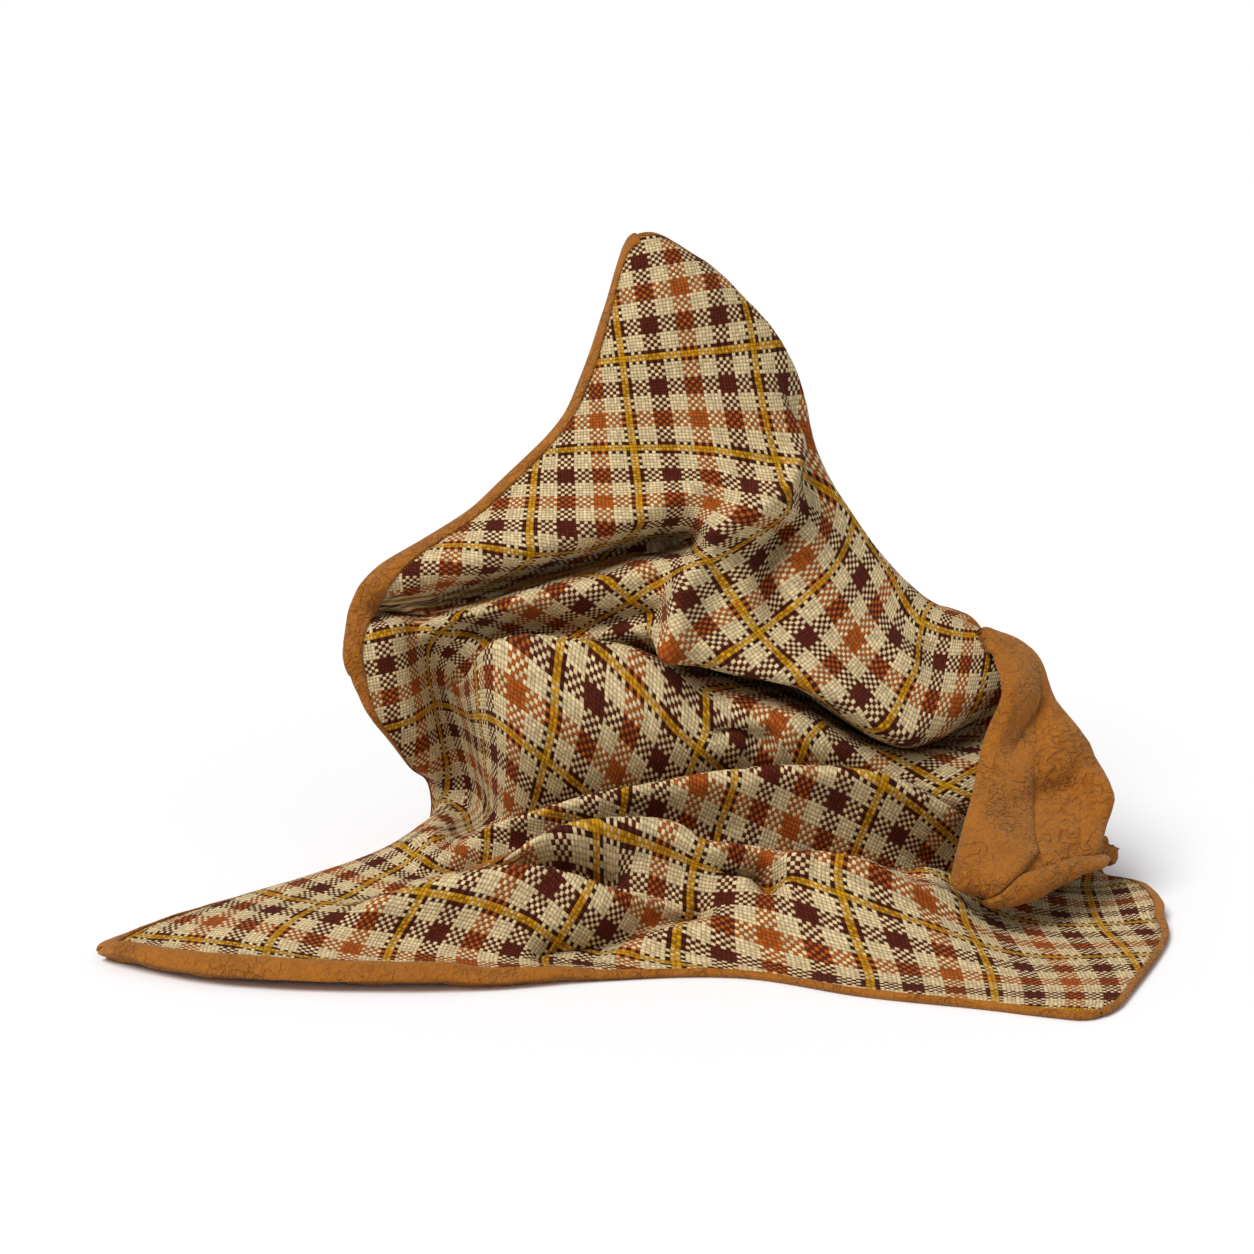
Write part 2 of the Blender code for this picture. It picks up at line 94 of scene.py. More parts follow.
# Name, metres of cloth from the peak along the left edge, metres from the peak along the back
# and right edges, share of the line at which it turns over into the folded corner, and a point
# at each station.
LINES = (
    ("sail_top", 0.12, 0.14, 0.94,
     (-30, 180, 710), (-20, 172, 715), (-10, 165, 720), (10, 160, 730), (30, 155, 735),
     (50, 155, 740), (75, 160, 745), (100, 170, 750), (120, 185, 750), (135, 200, 745),
     (140, 215, 735)),
    ("sail_middle", 0.26, 0.29, 0.94,
     (-80, 165, 585), (-60, 150, 590), (-35, 140, 600), (0, 132, 615), (40, 128, 625),
     (80, 130, 635), (120, 138, 645), (160, 152, 650), (190, 172, 650), (210, 190, 645),
     (220, 215, 630)),
    ("sail_low", 0.4, 0.44, 0.94,
     (-188, 148, 472), (-155, 130, 482), (-115, 115, 495), (-50, 100, 510), (20, 92, 525),
     (90, 90, 540), (165, 98, 550), (225, 125, 550), (215, 165, 540), (240, 185, 535),
     (260, 210, 510)),
    ("sail_foot", 0.53, 0.58, 0.94,
     (-315, 105, 392), (-272, 88, 400), (-218, 75, 408), (-140, 65, 425), (-60, 60, 445),
     (20, 60, 470), (100, 65, 495), (200, 70, 485), (235, 135, 475), (280, 160, 465),
     (310, 200, 420)),
    ("recess", 0.61, 0.67, 0.94,
     (-345, 85, 350), (-302, 100, 350), (-247, 130, 345), (-165, 150, 360), (-60, 155, 385),
     (35, 150, 410), (115, 70, 440), (205, 60, 435), (275, 115, 430), (320, 150, 410),
     (350, 195, 370)),
    ("first_ridge", 0.69, 0.8, 0.94,
     (-353, 50, 310), (-307, 55, 330), (-257, 80, 330), (-185, 75, 350), (-85, 75, 385),
     (10, 80, 405), (95, 25, 400), (195, 20, 385), (300, 80, 385), (355, 130, 370),
     (400, 180, 330)),
    ("turn_start", 0.725, 0.88, 0.94,
     (-353, 40, 290), (-302, 50, 305), (-255, 95, 305), (-180, 70, 335), (-80, 62, 360),
     (10, 55, 375), (90, 0, 365), (197, -5, 345), (310, 35, 320), (390, 95, 335), (445, 135, 325)),
    ("lip", 0.76, 0.98, 0.93,
     (-346, 35, 270), (-295, 50, 285), (-250, 105, 285), (-170, 65, 315), (-70, 45, 335),
     (10, 30, 345), (90, -25, 325), (200, -30, 300), (345, -30, 225), (495, 100, 300),
     (475, 35, 275)),
    ("tuck", 0.79, 1.12, 0.905,
     (-335, 30, 245), (-288, 45, 250), (-240, 120, 240), (-170, 90, 250), (-65, 100, 260),
     (10, 110, 270), (100, 120, 265), (210, 120, 235), (345, 100, 165), (545, 60, 230),
     (442, -45, 187)),
    ("second_ridge", 0.83, 1.27, 0.865,
     (-318, 30, 210), (-277, 45, 215), (-225, 120, 200), (-165, 0, 325), (-65, -10, 335),
     (20, -15, 315), (100, -20, 275), (210, -30, 245), (325, -10, 185), (600, -10, 140),
     (415, -190, 50)),
    ("panel", 0.88, 1.47, 0.955,
     (-290, 50, 160), (-255, 65, 155), (-205, 110, 140), (-155, -30, 230), (-60, -60, 255),
     (30, -60, 250), (110, -55, 235), (215, -55, 220), (320, -35, 165), (570, -35, 90),
     (620, -30, 62)),
    ("hollow_behind_third", 0.95, 1.6, 0.94,
     (-260, 130, 100), (-235, 90, 100), (-190, 60, 80), (-145, 0, 85), (-55, 0, 60), (30, 0, 55),
     (110, 5, 55), (215, 10, 55), (330, 30, 50), (500, 50, 50), (635, 40, 36)),
    ("third_ridge", 1.02, 1.75, 0.94,
     (-265, 125, 30), (-250, 20, 90), (-225, -75, 85), (-155, -70, 110), (-55, -80, 150),
     (30, -85, 170), (110, -85, 185), (215, -80, 190), (325, -80, 175), (490, -20, 62),
     (640, 15, 12)),
    ("hollow_behind_fourth", 1.1, 1.9, 0.94,
     (-335, 55, 12), (-310, -40, 65), (-240, -115, 65), (-150, -105, 60), (-50, -100, 40),
     (30, -100, 35), (110, -100, 35), (205, -90, 40), (315, -80, 40), (480, -45, 20),
     (645, -15, 8)),
    ("fourth_ridge", 1.2, 2.05, 0.94,
     (-420, -5, 8), (-405, -80, 45), (-270, -150, 65), (-155, -155, 105), (-55, -160, 145),
     (30, -165, 150), (110, -160, 140), (205, -150, 130), (310, -150, 108), (480, -90, 30),
     (650, -40, 8)),
    ("fourth_foot", 1.27, 2.25, 0.94,
     (-480, -50, 8), (-465, -110, 35), (-300, -170, 55), (-165, -180, 85), (-60, -180, 70),
     (15, -180, 60), (110, -185, 65), (200, -195, 90), (315, -200, 70), (485, -130, 14),
     (655, -70, 8)),
    ("low_ridge", 1.35, 2.4, 0.94,
     (-540, -100, 8), (-525, -150, 25), (-340, -200, 55), (-180, -215, 95), (-70, -220, 95),
     (10, -220, 70), (115, -220, 55), (215, -240, 60), (345, -240, 45), (490, -200, 10),
     (657, -110, 8)),
    ("apron", 1.44, 2.6, 0.94,
     (-610, -175, 8), (-570, -210, 15), (-430, -250, 30), (-295, -260, 30), (-165, -265, 25),
     (-20, -260, 14), (125, -255, 16), (260, -295, 14), (385, -310, 10), (500, -320, 8),
     (655, -200, 8)),
    ("front_edge", 1.52, 2.79, 0.94,
     (-650, -230, 8), (-545, -290, 8), (-430, -320, 8), (-300, -330, 8), (-160, -325, 8),
     (-20, -300, 8), (130, -295, 8), (270, -350, 8), (400, -385, 8), (480, -410, 8),
     (550, -430, 8)),
)


# -------------------- The sheet's shape --------------------


def tangents(knots, values):
    """Slope of a smooth curve at each knot. The knots run along the second last axis."""
    step = np.diff(knots)[:, None]
    slope = np.diff(values, axis=-2) / step
    share = step[1:] / (step[1:] + step[:-1])
    inner = share * slope[..., :-1, :] + (1 - share) * slope[..., 1:, :]
    return np.concatenate([slope[..., :1, :], inner, slope[..., -1:, :]], axis=-2)


def hermite(before, after, leave, arrive, x, h):
    """Cubic between two knots that are h apart, read at the share x."""
    return (
        (2 * x**3 - 3 * x**2 + 1) * before
        + (x**3 - 2 * x**2 + x) * h * leave
        + (3 * x**2 - 2 * x**3) * after
        + (x**3 - x**2) * h * arrive
    )


def spans(knots, at):
    """Index of the span that holds each place, the share along it, and its length."""
    step = np.diff(knots)
    place = np.clip(np.searchsorted(knots, at, side="right") - 1, 0, len(step) - 1)
    return place, (at - knots[place]) / step[place], step[place]


CONTROL = np.array([[PEAK] * len(STATIONS)] + [line[4:] for line in LINES]) / 1000 + DRAWN_FROM
LEFT_AT = np.array([0.0] + [line[1] for line in LINES])
RIGHT_AT = np.array([0.0] + [line[2] for line in LINES])
KNOTS = np.concatenate([[0.0], np.cumsum(
    np.linalg.norm(np.diff(CONTROL, axis=0), axis=2).mean(axis=1))])
ACROSS_KNOTS = np.concatenate([[0.0], np.cumsum(
    np.linalg.norm(np.diff(CONTROL[1:], axis=1), axis=2).mean(axis=0))])
SHARES = np.array([STATIONS] * len(CONTROL))
for index, line in enumerate(LINES):
    SHARES[index + 1, -2] = line[3]
    SHARES[index + 1, -3] = min(STATIONS[-3], line[3] - 0.085)
    SHARES[index + 1, -4] = min(STATIONS[-4], line[3] - 0.18)


def knot_of(name):
    """Place of a named line on the fan."""
    return KNOTS[1 + [line[0] for line in LINES].index(name)]


def fan_rows(count):
    """Places on the fan of a number of rows, as many between each two lines."""
    return np.interp(np.linspace(0, len(KNOTS) - 1, count + 1)[1:], range(len(KNOTS)), KNOTS)


def ends_of(w):
    """Flat positions of both ends of the fan lines at w."""
    left = np.interp(w, KNOTS, LEFT_AT)
    far = np.interp(w, KNOTS, RIGHT_AT)
    zero = np.zeros_like(left)
    start = np.stack([left, zero], axis=-1)
    on_back = np.stack([zero, far], axis=-1)
    on_right = np.stack([far - WIDTH, zero + WIDTH], axis=-1)
    return start, np.where((far > WIDTH)[..., None], on_right, on_back)


def locate(flat):
    """Fan line and share along it of each flat position."""
    low = np.full(len(flat), 1e-6)
    high = np.full(len(flat), KNOTS[-1])
    for _ in range(34):
        middle = (low + high) / 2
        start, end = ends_of(middle)
        along = end - start
        off = flat - start
        beyond = along[:, 0] * off[:, 1] - along[:, 1] * off[:, 0] < 0
        low = np.where(beyond, middle, low)
        high = np.where(beyond, high, middle)
    start, end = ends_of(high)
    share = np.linalg.norm(flat - start, axis=1) / np.linalg.norm(end - start, axis=1)
    return high, np.clip(share, 0, 1)


def stations_at(w):
    """Share along the fan lines at w of every station."""
    return np.stack([np.interp(w, KNOTS, SHARES[:, j]) for j in range(len(STATIONS))], axis=1)


def column_of(w, share):
    """Station number, with its fraction, of each share along the fan lines at w."""
    table = stations_at(w)
    number = (table <= share[:, None]).sum(axis=1).clip(1, len(STATIONS) - 1) - 1
    rows = np.arange(len(w))
    before = table[rows, number]
    column = number + (share - before) / (table[rows, number + 1] - before)
    return np.clip(column, 0, len(STATIONS) - 1)


def share_of(w, column):
    """Share along the fan lines at w of each station number."""
    table = stations_at(w)
    number = np.clip(column.astype(int), 0, len(STATIONS) - 2)
    rows = np.arange(len(w))
    before = table[rows, number]
    return before + (column - number) * (table[rows, number + 1] - before)


def loft(w, column):
    """Points of the smooth surface through the lines at fan place w and station number."""
    flat_control = CONTROL.reshape(len(KNOTS), -1)
    slope = tangents(KNOTS, flat_control)
    place, x, h = spans(KNOTS, w)
    ribs = hermite(flat_control[place], flat_control[place + 1], slope[place], slope[place + 1],
                   x[:, None], h[:, None]).reshape(len(w), len(STATIONS), 3)
    leave = tangents(ACROSS_KNOTS, ribs)
    at = np.interp(column, range(len(STATIONS)), ACROSS_KNOTS)
    place, x, h = spans(ACROSS_KNOTS, at)
    rows = np.arange(len(w))
    return hermite(ribs[rows, place], ribs[rows, place + 1], leave[rows, place],
                   leave[rows, place + 1], x[:, None], h[:, None])


def rounded(flat):
    """Flat positions with the corner squares of the rectangle drawn in to quarter discs."""
    out = flat.copy()
    for corner in CORNERS:
        inward = np.array([1 if corner[0] == 0 else -1, 1 if corner[1] == 0 else -1])
        centre = np.array(corner) + inward * CORNER_RADIUS
        out_by = (centre - flat) * inward
        inside = (out_by > 1e-9).all(axis=1)
        reach = out_by.max(axis=1) / np.maximum(np.hypot(*out_by.T), 1e-12)
        out[inside] = (centre - inward * out_by * reach[:, None])[inside]
    return out


def noise(points, seed):
    """Smooth noise between -1 and 1 at 2D or 3D points, one unit of distance per feature."""
    base = np.floor(points).astype(np.int64)
    frac = points - base
    fade = frac * frac * (3 - 2 * frac)
    total = np.zeros(len(points))
    for corner in np.ndindex(*([2] * points.shape[1])):
        cell = base + np.array(corner)
        code = np.full(len(points), seed * 7919 + 17, np.int64)
        for axis, prime in enumerate((73856093, 19349663, 83492791)[:points.shape[1]]):
            code = (code ^ (cell[:, axis] * prime)) & 0x7FFFFFFF
            code = (code * 1103515245 + 12345) & 0x7FFFFFFF
        value = (code >> 8 & 0xFFFF) / 32767.5 - 1
        weight = np.ones(len(points))
        for axis in range(points.shape[1]):
            weight *= fade[:, axis] if corner[axis] else 1 - fade[:, axis]
        total += weight * value
    return total


# Smaller folds that the lines don't carry. Name, half width, shift at the middle, path.
FOLDS = (
    ("under_the_peak", 18, (0, 45, -8), ((-310, 80, 340), (-275, 80, 338), (-180, 110, 352),
     (-50, 95, 396), (60, 125, 420), (100, 85, 450))),
    ("first_roll", 22, (0, -22, 6), ((-236, 80, 331), (-115, 70, 369), (5, 70, 396),
     (70, 80, 415))),
    ("below_first_roll", 15, (0, 40, -12), ((-210, 70, 320), (-180, 70, 324), (-93, 50, 333),
     (-15, 40, 349), (50, 20, 366))),
    ("finger_roll", 24, (-14, -55, 4), ((230, 110, 530), (215, 90, 506), (150, 62, 484),
     (100, 70, 440), (77, 20, 389), (62, -5, 335))),
    ("beside_finger", 18, (4, 44, 0), ((232, 120, 500), (205, 80, 465), (180, 55, 430),
     (172, 27, 395), (185, 10, 360))),
    ("slope_edge", 24, (0, -20, -8), ((58, 0, 340), (150, -20, 315), (227, -30, 305),
     (280, -30, 280), (350, -30, 235))),
    ("slope_crease", 15, (0, 24, 0), ((300, 40, 400), (340, 50, 365), (370, 50, 330),
     (385, 50, 300))),
    ("slope_roll", 24, (0, -20, 0), ((270, 30, 390), (320, 30, 340), (360, 30, 300))),
    ("third_roll", 21, (0, -22, 10), ((-258, -50, 88), (-100, -70, 140), (80, -88, 177),
     (246, -78, 189), (317, -76, 178), (405, -50, 122))),
    ("below_third_roll", 22, (0, 26, -24), ((30, -120, 115), (110, -110, 120), (200, -140, 125),
     (273, -148, 117), (360, -100, 80), (410, -55, 55))),
    ("fourth_roll", 21, (0, -18, 10), ((-243, -90, 75), (-130, -140, 115), (-34, -162, 148),
     (43, -169, 138), (120, -165, 130))),
    ("below_fourth_roll", 18, (0, 50, -50), ((-180, -160, 95), (-123, -170, 98), (-78, -172, 90),
     (-20, -173, 86))),
    ("low_roll", 24, (0, -12, 18), ((-297, -231, 61), (-200, -225, 85), (-127, -218, 99),
     (-33, -190, 80), (20, -190, 75))),
    ("below_low_roll", 18, (0, 34, -34), ((-90, -262, 20), (-50, -253, 28), (-20, -244, 42),
     (30, -229, 60), (90, -210, 65))),
    ("apron_roll", 24, (0, -14, 20), ((180, -185, 95), (228, -175, 115), (272, -180, 105),
     (335, -187, 69), (395, -169, 42))),
    ("apron_crease", 16, (0, 48, -50), ((130, -165, 110), (160, -175, 105), (175, -190, 85))),
    ("pucker", 12, (0, -24, 16), ((98, -55, 205), (135, -55, 212))),
    ("pucker_crease", 10, (0, 26, 0), ((115, -55, 226), (170, -55, 222))),
    ("fourth_roll_falls", 30, (0, 0, -20), ((100, -160, 140), (160, -155, 130), (250, -150, 118),
     (340, -150, 95))),
    ("flap_edge", 32, (0, 0, 14), ((-600, -255, 10), (-500, -300, 8), (-400, -320, 8),
     (-280, -328, 8), (-220, -325, 8))),
    ("flap_edge_fades", 32, (0, 0, 7), ((-170, -325, 8), (-80, -310, 8))),
    ("corner_end", 30, (-28, 20, -20), ((620, -35, 75), (630, -20, 60))),
    ("corner_tip", 26, (-30, 18, -20), ((650, -10, 85), (660, 10, 75))),
    ("corner_turn", 30, (-26, -20, -8), ((640, 45, 40), (635, 35, 30))),
    ("apron_side", 40, (14, 0, 10), ((650, -30, 10), (655, -90, 10))),
    # The corner that is folded over shows the fleece.
    ("corner_hollow", 28, (4, 34, 0), ((468, -90, 118), (520, -62, 125), (560, -42, 125))),
    ("corner_dip", 45, (0, 22, 0), ((475, -50, 165), (500, -10, 200))),
    ("corner_crease_high", 18, (0, 14, -2), ((550, 60, 262), (515, 15, 225), (485, -30, 185))),
    ("corner_crease_low", 18, (-3, 12, -2), ((600, 10, 178), (560, -30, 155), (520, -55, 140))),
    ("corner_lobe", 30, (10, -12, 0), ((575, 10, 210), (545, -10, 195))),
    ("corner_lobe_low", 30, (8, -16, 0), ((600, -20, 135), (575, -55, 100))),
    ("corner_roll", 28, (0, -26, 6), ((440, -150, 55), (500, -120, 60), (560, -85, 62),
     (600, -50, 70))),
)


def nearest_on_path(points, path):
    """Distance of each point from a path of straight spans."""
    best = np.full(len(points), 1e9)
    for start, end in zip(path[:-1], path[1:]):
        way = end - start
        share = np.clip(((points - start) @ way) / (way @ way), 0, 1)
        best = np.minimum(best, np.linalg.norm(points - start - share[:, None] * way, axis=1))
    return best


def add_folds(points):
    """Moves the sheet's points by the smaller folds, then by faint unevenness all over."""
    shift = np.zeros_like(points)
    for _, width, move, path in FOLDS:
        away = nearest_on_path(points, np.array(path) / 1000 + DRAWN_FROM)
        shift += np.exp(-((away / (width / 1000)) ** 2))[:, None] * (np.array(move) / 1000)
    free = np.clip((points[:, 2] - 0.01) / 0.05, 0, 1)[:, None]
    for size, amount, seed in ((0.085, 0.0032, 11), (0.045, 0.0012, 21)):
        uneven = np.stack([noise(points / size, seed + k) for k in range(3)], axis=1)
        shift += amount * uneven * free
    moved = points + shift
    moved[:, 2] = np.maximum(moved[:, 2], np.minimum(points[:, 2], 0.006))
    return moved


FAR_EDGE_CURL = (-0.010, 0.024, -0.012)


class Sheet:
    """The middle surface of the blanket on a grid of fan rows and station columns."""

    def __init__(self, rows, columns):
        self.w = fan_rows(rows)
        self.column = np.linspace(0, len(STATIONS) - 1, columns)
        w, column = (a.ravel() for a in np.meshgrid(self.w, self.column, indexing="ij"))
        self.shape = (rows, columns)
        points = add_folds(loft(w, column))
        # The peak's far edge curls back, out of sight.
        curl = np.clip((column - 9.1) / 0.9, 0, 1) ** 1.5 * np.clip(
            (knot_of("turn_start") - w) / 0.06, 0, 1) * np.clip(w / 0.10, 0, 1)
        points += curl[:, None] * np.array(FAR_EDGE_CURL)
        self.points = points.reshape(rows, columns, 3)
        start, end = ends_of(w)
        flat = start + (end - start) * share_of(w, column)[:, None]
        self.flat = flat.reshape(rows, columns, 2)
        self.pattern = self.flat.copy()

    def normals(self):
        down = np.gradient(self.points, axis=0)
        over = np.gradient(self.points, axis=1)
        cross = np.cross(down, over)
        return cross / np.maximum(np.linalg.norm(cross, axis=2), 1e-12)[..., None]

    def read(self, values, flat):
        """Values of the grid at flat positions, read between the grid's points."""
        w, share = locate(flat)
        column = column_of(w, share)
        row = np.interp(w, self.w, range(self.shape[0]))
        column = column * (self.shape[1] - 1) / (len(STATIONS) - 1)
        r = np.clip(row.astype(int), 0, self.shape[0] - 2)
        c = np.clip(column.astype(int), 0, self.shape[1] - 2)
        x = (row - r)[:, None]
        y = (column - c)[:, None]
        upper = values[r, c] * (1 - y) + values[r, c + 1] * y
        lower = values[r + 1, c] * (1 - y) + values[r + 1, c + 1] * y
        return upper * (1 - x) + lower * x

    def stand(self, flat):
        """Points of the middle surface at flat positions, and the way its face looks there."""
        normal = self.read(self.normals(), flat)
        normal /= np.linalg.norm(normal, axis=1)[:, None]
        return self.read(self.points, flat), normal


# -------------------- The weave's run over the sheet --------------------

# Where the middles of two mustard stripes cross, and how many yarns along the repeat each is.
CROSSING = (-3, 147, 656)
CROSSING_YARNS = (2, 41)
# Which way the yarns run on the peak: nearly level, and down.
PEAK_GRAIN = ((0.984, 0, 0.179), (0.179, 0, -0.984))
SOLVER_STEPS = 800
# What a place counts for where the grain may slip, and the pull that keeps the solution still.
SLIP = 0.02
HOLD = 1e-7


def quad_triangles(rows, columns):
    """Triangles of a grid of rows by columns points."""
    a = (np.arange(rows - 1)[:, None] * columns + np.arange(columns - 1)).ravel()
    return np.concatenate([
        np.stack([a, a + columns, a + columns + 1], axis=1),
        np.stack([a, a + columns + 1, a + 1], axis=1),
    ])


def lay_pattern(sheet, pitch):
    """Finds weave coordinates, in metres of cloth, that run with the grain and stay even.

    Each triangle says which way the two yarns run across it. The coordinates are those whose
    gradients come nearest to these directions, found by conjugate gradients.
    """
    rows, columns = sheet.shape
    points = sheet.points.reshape(-1, 3)
    tri = quad_triangles(rows, columns)
    a, b, c = (points[tri[:, k]] for k in range(3))
    cross = np.cross(b - a, c - a)
    double = np.maximum(np.linalg.norm(cross, axis=1), 1e-9)
    normal = cross / double[:, None]
    # Gradient of each corner's hat function over its triangle.
    hats = [np.cross(normal, opposite) / double[:, None] for opposite in (c - b, a - c, b - a)]

    w = np.repeat(sheet.w, columns)[tri].mean(axis=1)
    column = np.tile(sheet.column, rows)[tri].mean(axis=1)
    flat = sheet.flat.reshape(-1, 2)
    along_edges = [sum(hats[k] * flat[tri[:, k], axis][:, None] for k in range(3))
                   for axis in (1, 0)]
    upright = [np.broadcast_to(axis, normal.shape) for axis in PEAK_GRAIN]

    def unit(vectors):
        across = vectors - normal * (vectors * normal).sum(axis=1)[:, None]
        return across / np.maximum(np.linalg.norm(across, axis=1), 1e-9)[:, None]

    def frame_of(first, second):
        """Right-angled pair of directions nearest to two slanted ones."""
        first, second = unit(first), unit(second)
        turned = np.cross(normal, second)
        middle = unit(first + turned)
        return middle, np.cross(middle, normal)

    # The peak's cloth hangs nearly square to the ground. Below its foot the grain follows the
    # edges.
    foot = knot_of("sail_foot")
    below = np.clip((w - foot + 0.02) / 0.06, 0, 1)
    side_lobe = (column < 2.0) & (w < knot_of("hollow_behind_third"))
    share = np.where(side_lobe, 0.0, below)
    edge_pair = frame_of(*along_edges)
    hang_pair = frame_of(*upright)
    goal = [unit(hang_pair[k] * (1 - share)[:, None] + edge_pair[k] * share[:, None])
            for k in range(2)]

    # Where a deep fold hides the cloth the grain may slip.
    hidden = (np.abs(w - knot_of("recess")) < 0.03) & (column < 5.6)
    crease = (np.abs(column - 2.0) < 0.35) & (w > knot_of("recess")) & (w < knot_of("third_ridge"))
    weight = double * np.where(hidden | crease, SLIP, 1.0)

    def gather(vectors):
        out = np.zeros(len(points))
        for k in range(3):
            out += np.bincount(tri[:, k], (hats[k] * vectors).sum(axis=1) * weight, len(points))
        return out

    def apply(x):
        return gather(sum(hats[k] * x[tri[:, k]][:, None] for k in range(3))) + HOLD * x

    diagonal = np.zeros(len(points))
    for k in range(3):
        diagonal += np.bincount(tri[:, k], (hats[k] ** 2).sum(axis=1) * weight, len(points))
    diagonal = np.maximum(diagonal, 1e-9)
    for axis in range(2):
        x = sheet.flat.reshape(-1, 2)[:, 1 - axis].copy()
        rest = gather(goal[axis]) - apply(x)
        z = rest / diagonal
        way = z.copy()
        power = rest @ z
        for _ in range(SOLVER_STEPS):
            pushed = apply(way)
            step = power / (way @ pushed)
            x += step * way
            rest -= step * pushed
            z = rest / diagonal
            fresh = rest @ z
            way = z + way * (fresh / power)
            power = fresh
        # The pattern slides until two mustard stripes cross at their place on the peak.
        nearest = np.linalg.norm(points - (np.array(CROSSING) / 1000 + DRAWN_FROM), axis=1).argmin()
        sheet.pattern[..., axis] = (x - x[nearest]).reshape(rows, columns)
        sheet.pattern[..., axis] += CROSSING_YARNS[axis] * pitch


# -------------------- Meshes --------------------


def clipped_rows(inset, rows, columns):
    """Flat positions of a grid on the fan that keeps an inset from every edge. One of its rows
    ends at the corner that is folded over."""
    far_s, far_t = LENGTH - inset, WIDTH - inset
    corners = np.array([(inset, inset), (far_s, inset), (far_s, far_t), (inset, far_t)])
    peak_at, left_at, front_at, turned_at = locate(corners)[0]
    w = fan_rows(rows)
    w = w[(w > peak_at + 0.006) & (w < min(left_at, front_at) - 0.004)]
    turned = np.abs(w - turned_at).argmin()
    w[turned] = turned_at
    start, end = ends_of(w)
    first = inset / end[:, 1]
    last = np.minimum(far_t / end[:, 1], (start[:, 0] - inset) / np.where(
        start[:, 0] > end[:, 0], start[:, 0] - end[:, 0], 1e9).clip(1e-9))
    on_right = end[:, 0] > inset
    last = np.where(on_right, far_t / end[:, 1], np.minimum(last, far_t / end[:, 1]))
    column = np.linspace(0, len(STATIONS) - 1, columns)
    shares = np.stack([share_of(w, np.full(len(w), k)) for k in column], axis=1)
    shares = first[:, None] + (last - first)[:, None] * shares
    grid = start[:, None] + (end - start)[:, None] * shares[..., None]
    shares = np.interp(column, range(len(STATIONS)), STATIONS)
    front = corners[1] + (corners[2] - corners[1]) * shares[:, None]
    grid = np.concatenate([grid, front[None]])
    grid[turned, -1] = corners[3]
    return np.clip(grid, inset, (far_s, far_t))


def loop_of(rows, columns):
    """Grid indices once round the edge, from the peak."""
    loop = [rows * columns]
    loop += [row * columns for row in range(rows)]
    loop += [(rows - 1) * columns + column for column in range(1, columns)]
    loop += [row * columns + columns - 1 for row in range(rows - 2, -1, -1)]
    return np.array(loop)


def fan_triangles(rows, columns):
    """Triangles of the grid with the peak corner closed to one point."""
    peak = rows * columns
    cap = np.array([(peak, column, column + 1) for column in range(columns - 1)])
    return np.concatenate([cap, quad_triangles(rows, columns)])


def make_object(name, points, faces, material, pattern=None):
    """A mesh object at the origin, with the weave's coordinates as its UV map."""
    mesh = bpy.data.meshes.new(name)
    mesh.from_pydata(points.tolist(), [], faces)
    mesh.polygons.foreach_set("use_smooth", [True] * len(mesh.polygons))
    if pattern is not None:
        layer = mesh.uv_layers.new(name="Cloth")
        ids = np.empty(len(mesh.loops), np.int32)
        mesh.loops.foreach_get("vertex_index", ids)
        layer.data.foreach_set("uv", pattern[ids].ravel())
    mesh.materials.append(material)
    mesh.update()
    piece = bpy.data.objects.new(name, mesh)
    bpy.context.scene.collection.objects.link(piece)
    return piece


def closed_layer(name, sheet, inset, rows, columns, top, bottom, material):
    """A closed sheet between two heights over the middle surface. Heights may be functions."""
    grid = clipped_rows(inset, rows, columns)
    rows = len(grid)
    flat = rounded(np.concatenate([grid.reshape(-1, 2), [(inset, inset)]]))
    middle, normal = sheet.stand(flat)
    pattern = sheet.read(sheet.pattern, flat)
    upper = middle + normal * height_at(top, flat, pattern)[:, None]
    lower = middle + normal * height_at(bottom, flat, pattern)[:, None]
    lower[:, 2] = np.maximum(lower[:, 2], LOWEST)
    count = len(flat)
    tri = fan_triangles(rows, columns)
    loop = loop_of(rows, columns)
    after = np.roll(loop, -1)
    rim = np.concatenate([
        np.stack([after, loop, loop + count], axis=1),
        np.stack([after, loop + count, after + count], axis=1),
    ])
    faces = np.concatenate([tri, tri[:, ::-1] + count, rim])
    points = np.concatenate([upper, lower])
    return make_object(name, points, faces.tolist(), material, np.concatenate([pattern, pattern]))


def height_at(height, flat, pattern):
    """A height over the middle surface at each flat position."""
    return height(flat, pattern) if callable(height) else np.full(len(flat), float(height))


# How far the border's roll swells, from 0 to 1, at distances along each edge.
PLUMP = {
    "left": ((0.0, 0.28), (0.15, 0.36), (0.30, 0.45), (0.42, 0.80), (0.52, 1.0), (0.68, 0.75),
             (0.80, 0.35), (0.90, 0.10), (1.20, 0.15), (1.40, 0.45), (1.52, 0.8)),
    "front": ((0.0, 0.8), (0.08, 0.95), (0.42, 0.95), (0.58, 0.55), (0.72, 0.1), (0.85, 0.0),
              (1.27, 0.0)),
    "right": ((0.0, 0.0), (1.1, 0.0), (1.4, 0.08), (1.52, 0.1)),
    "back": ((0.0, 0.1), (0.40, 0.05), (0.55, 0.0), (1.27, 0.0)),
}
# The same for how thick the border stands on the back.
PUFF = {
    "left": PLUMP["left"],
    "front": PLUMP["front"],
    "right": ((0.0, 0.0), (0.85, 0.0), (1.10, 0.25), (1.26, 0.85), (1.52, 1.0)),
    "back": ((0.0, 1.0), (0.20, 0.85), (0.32, 0.30), (0.42, 0.0), (1.27, 0.0)),
}

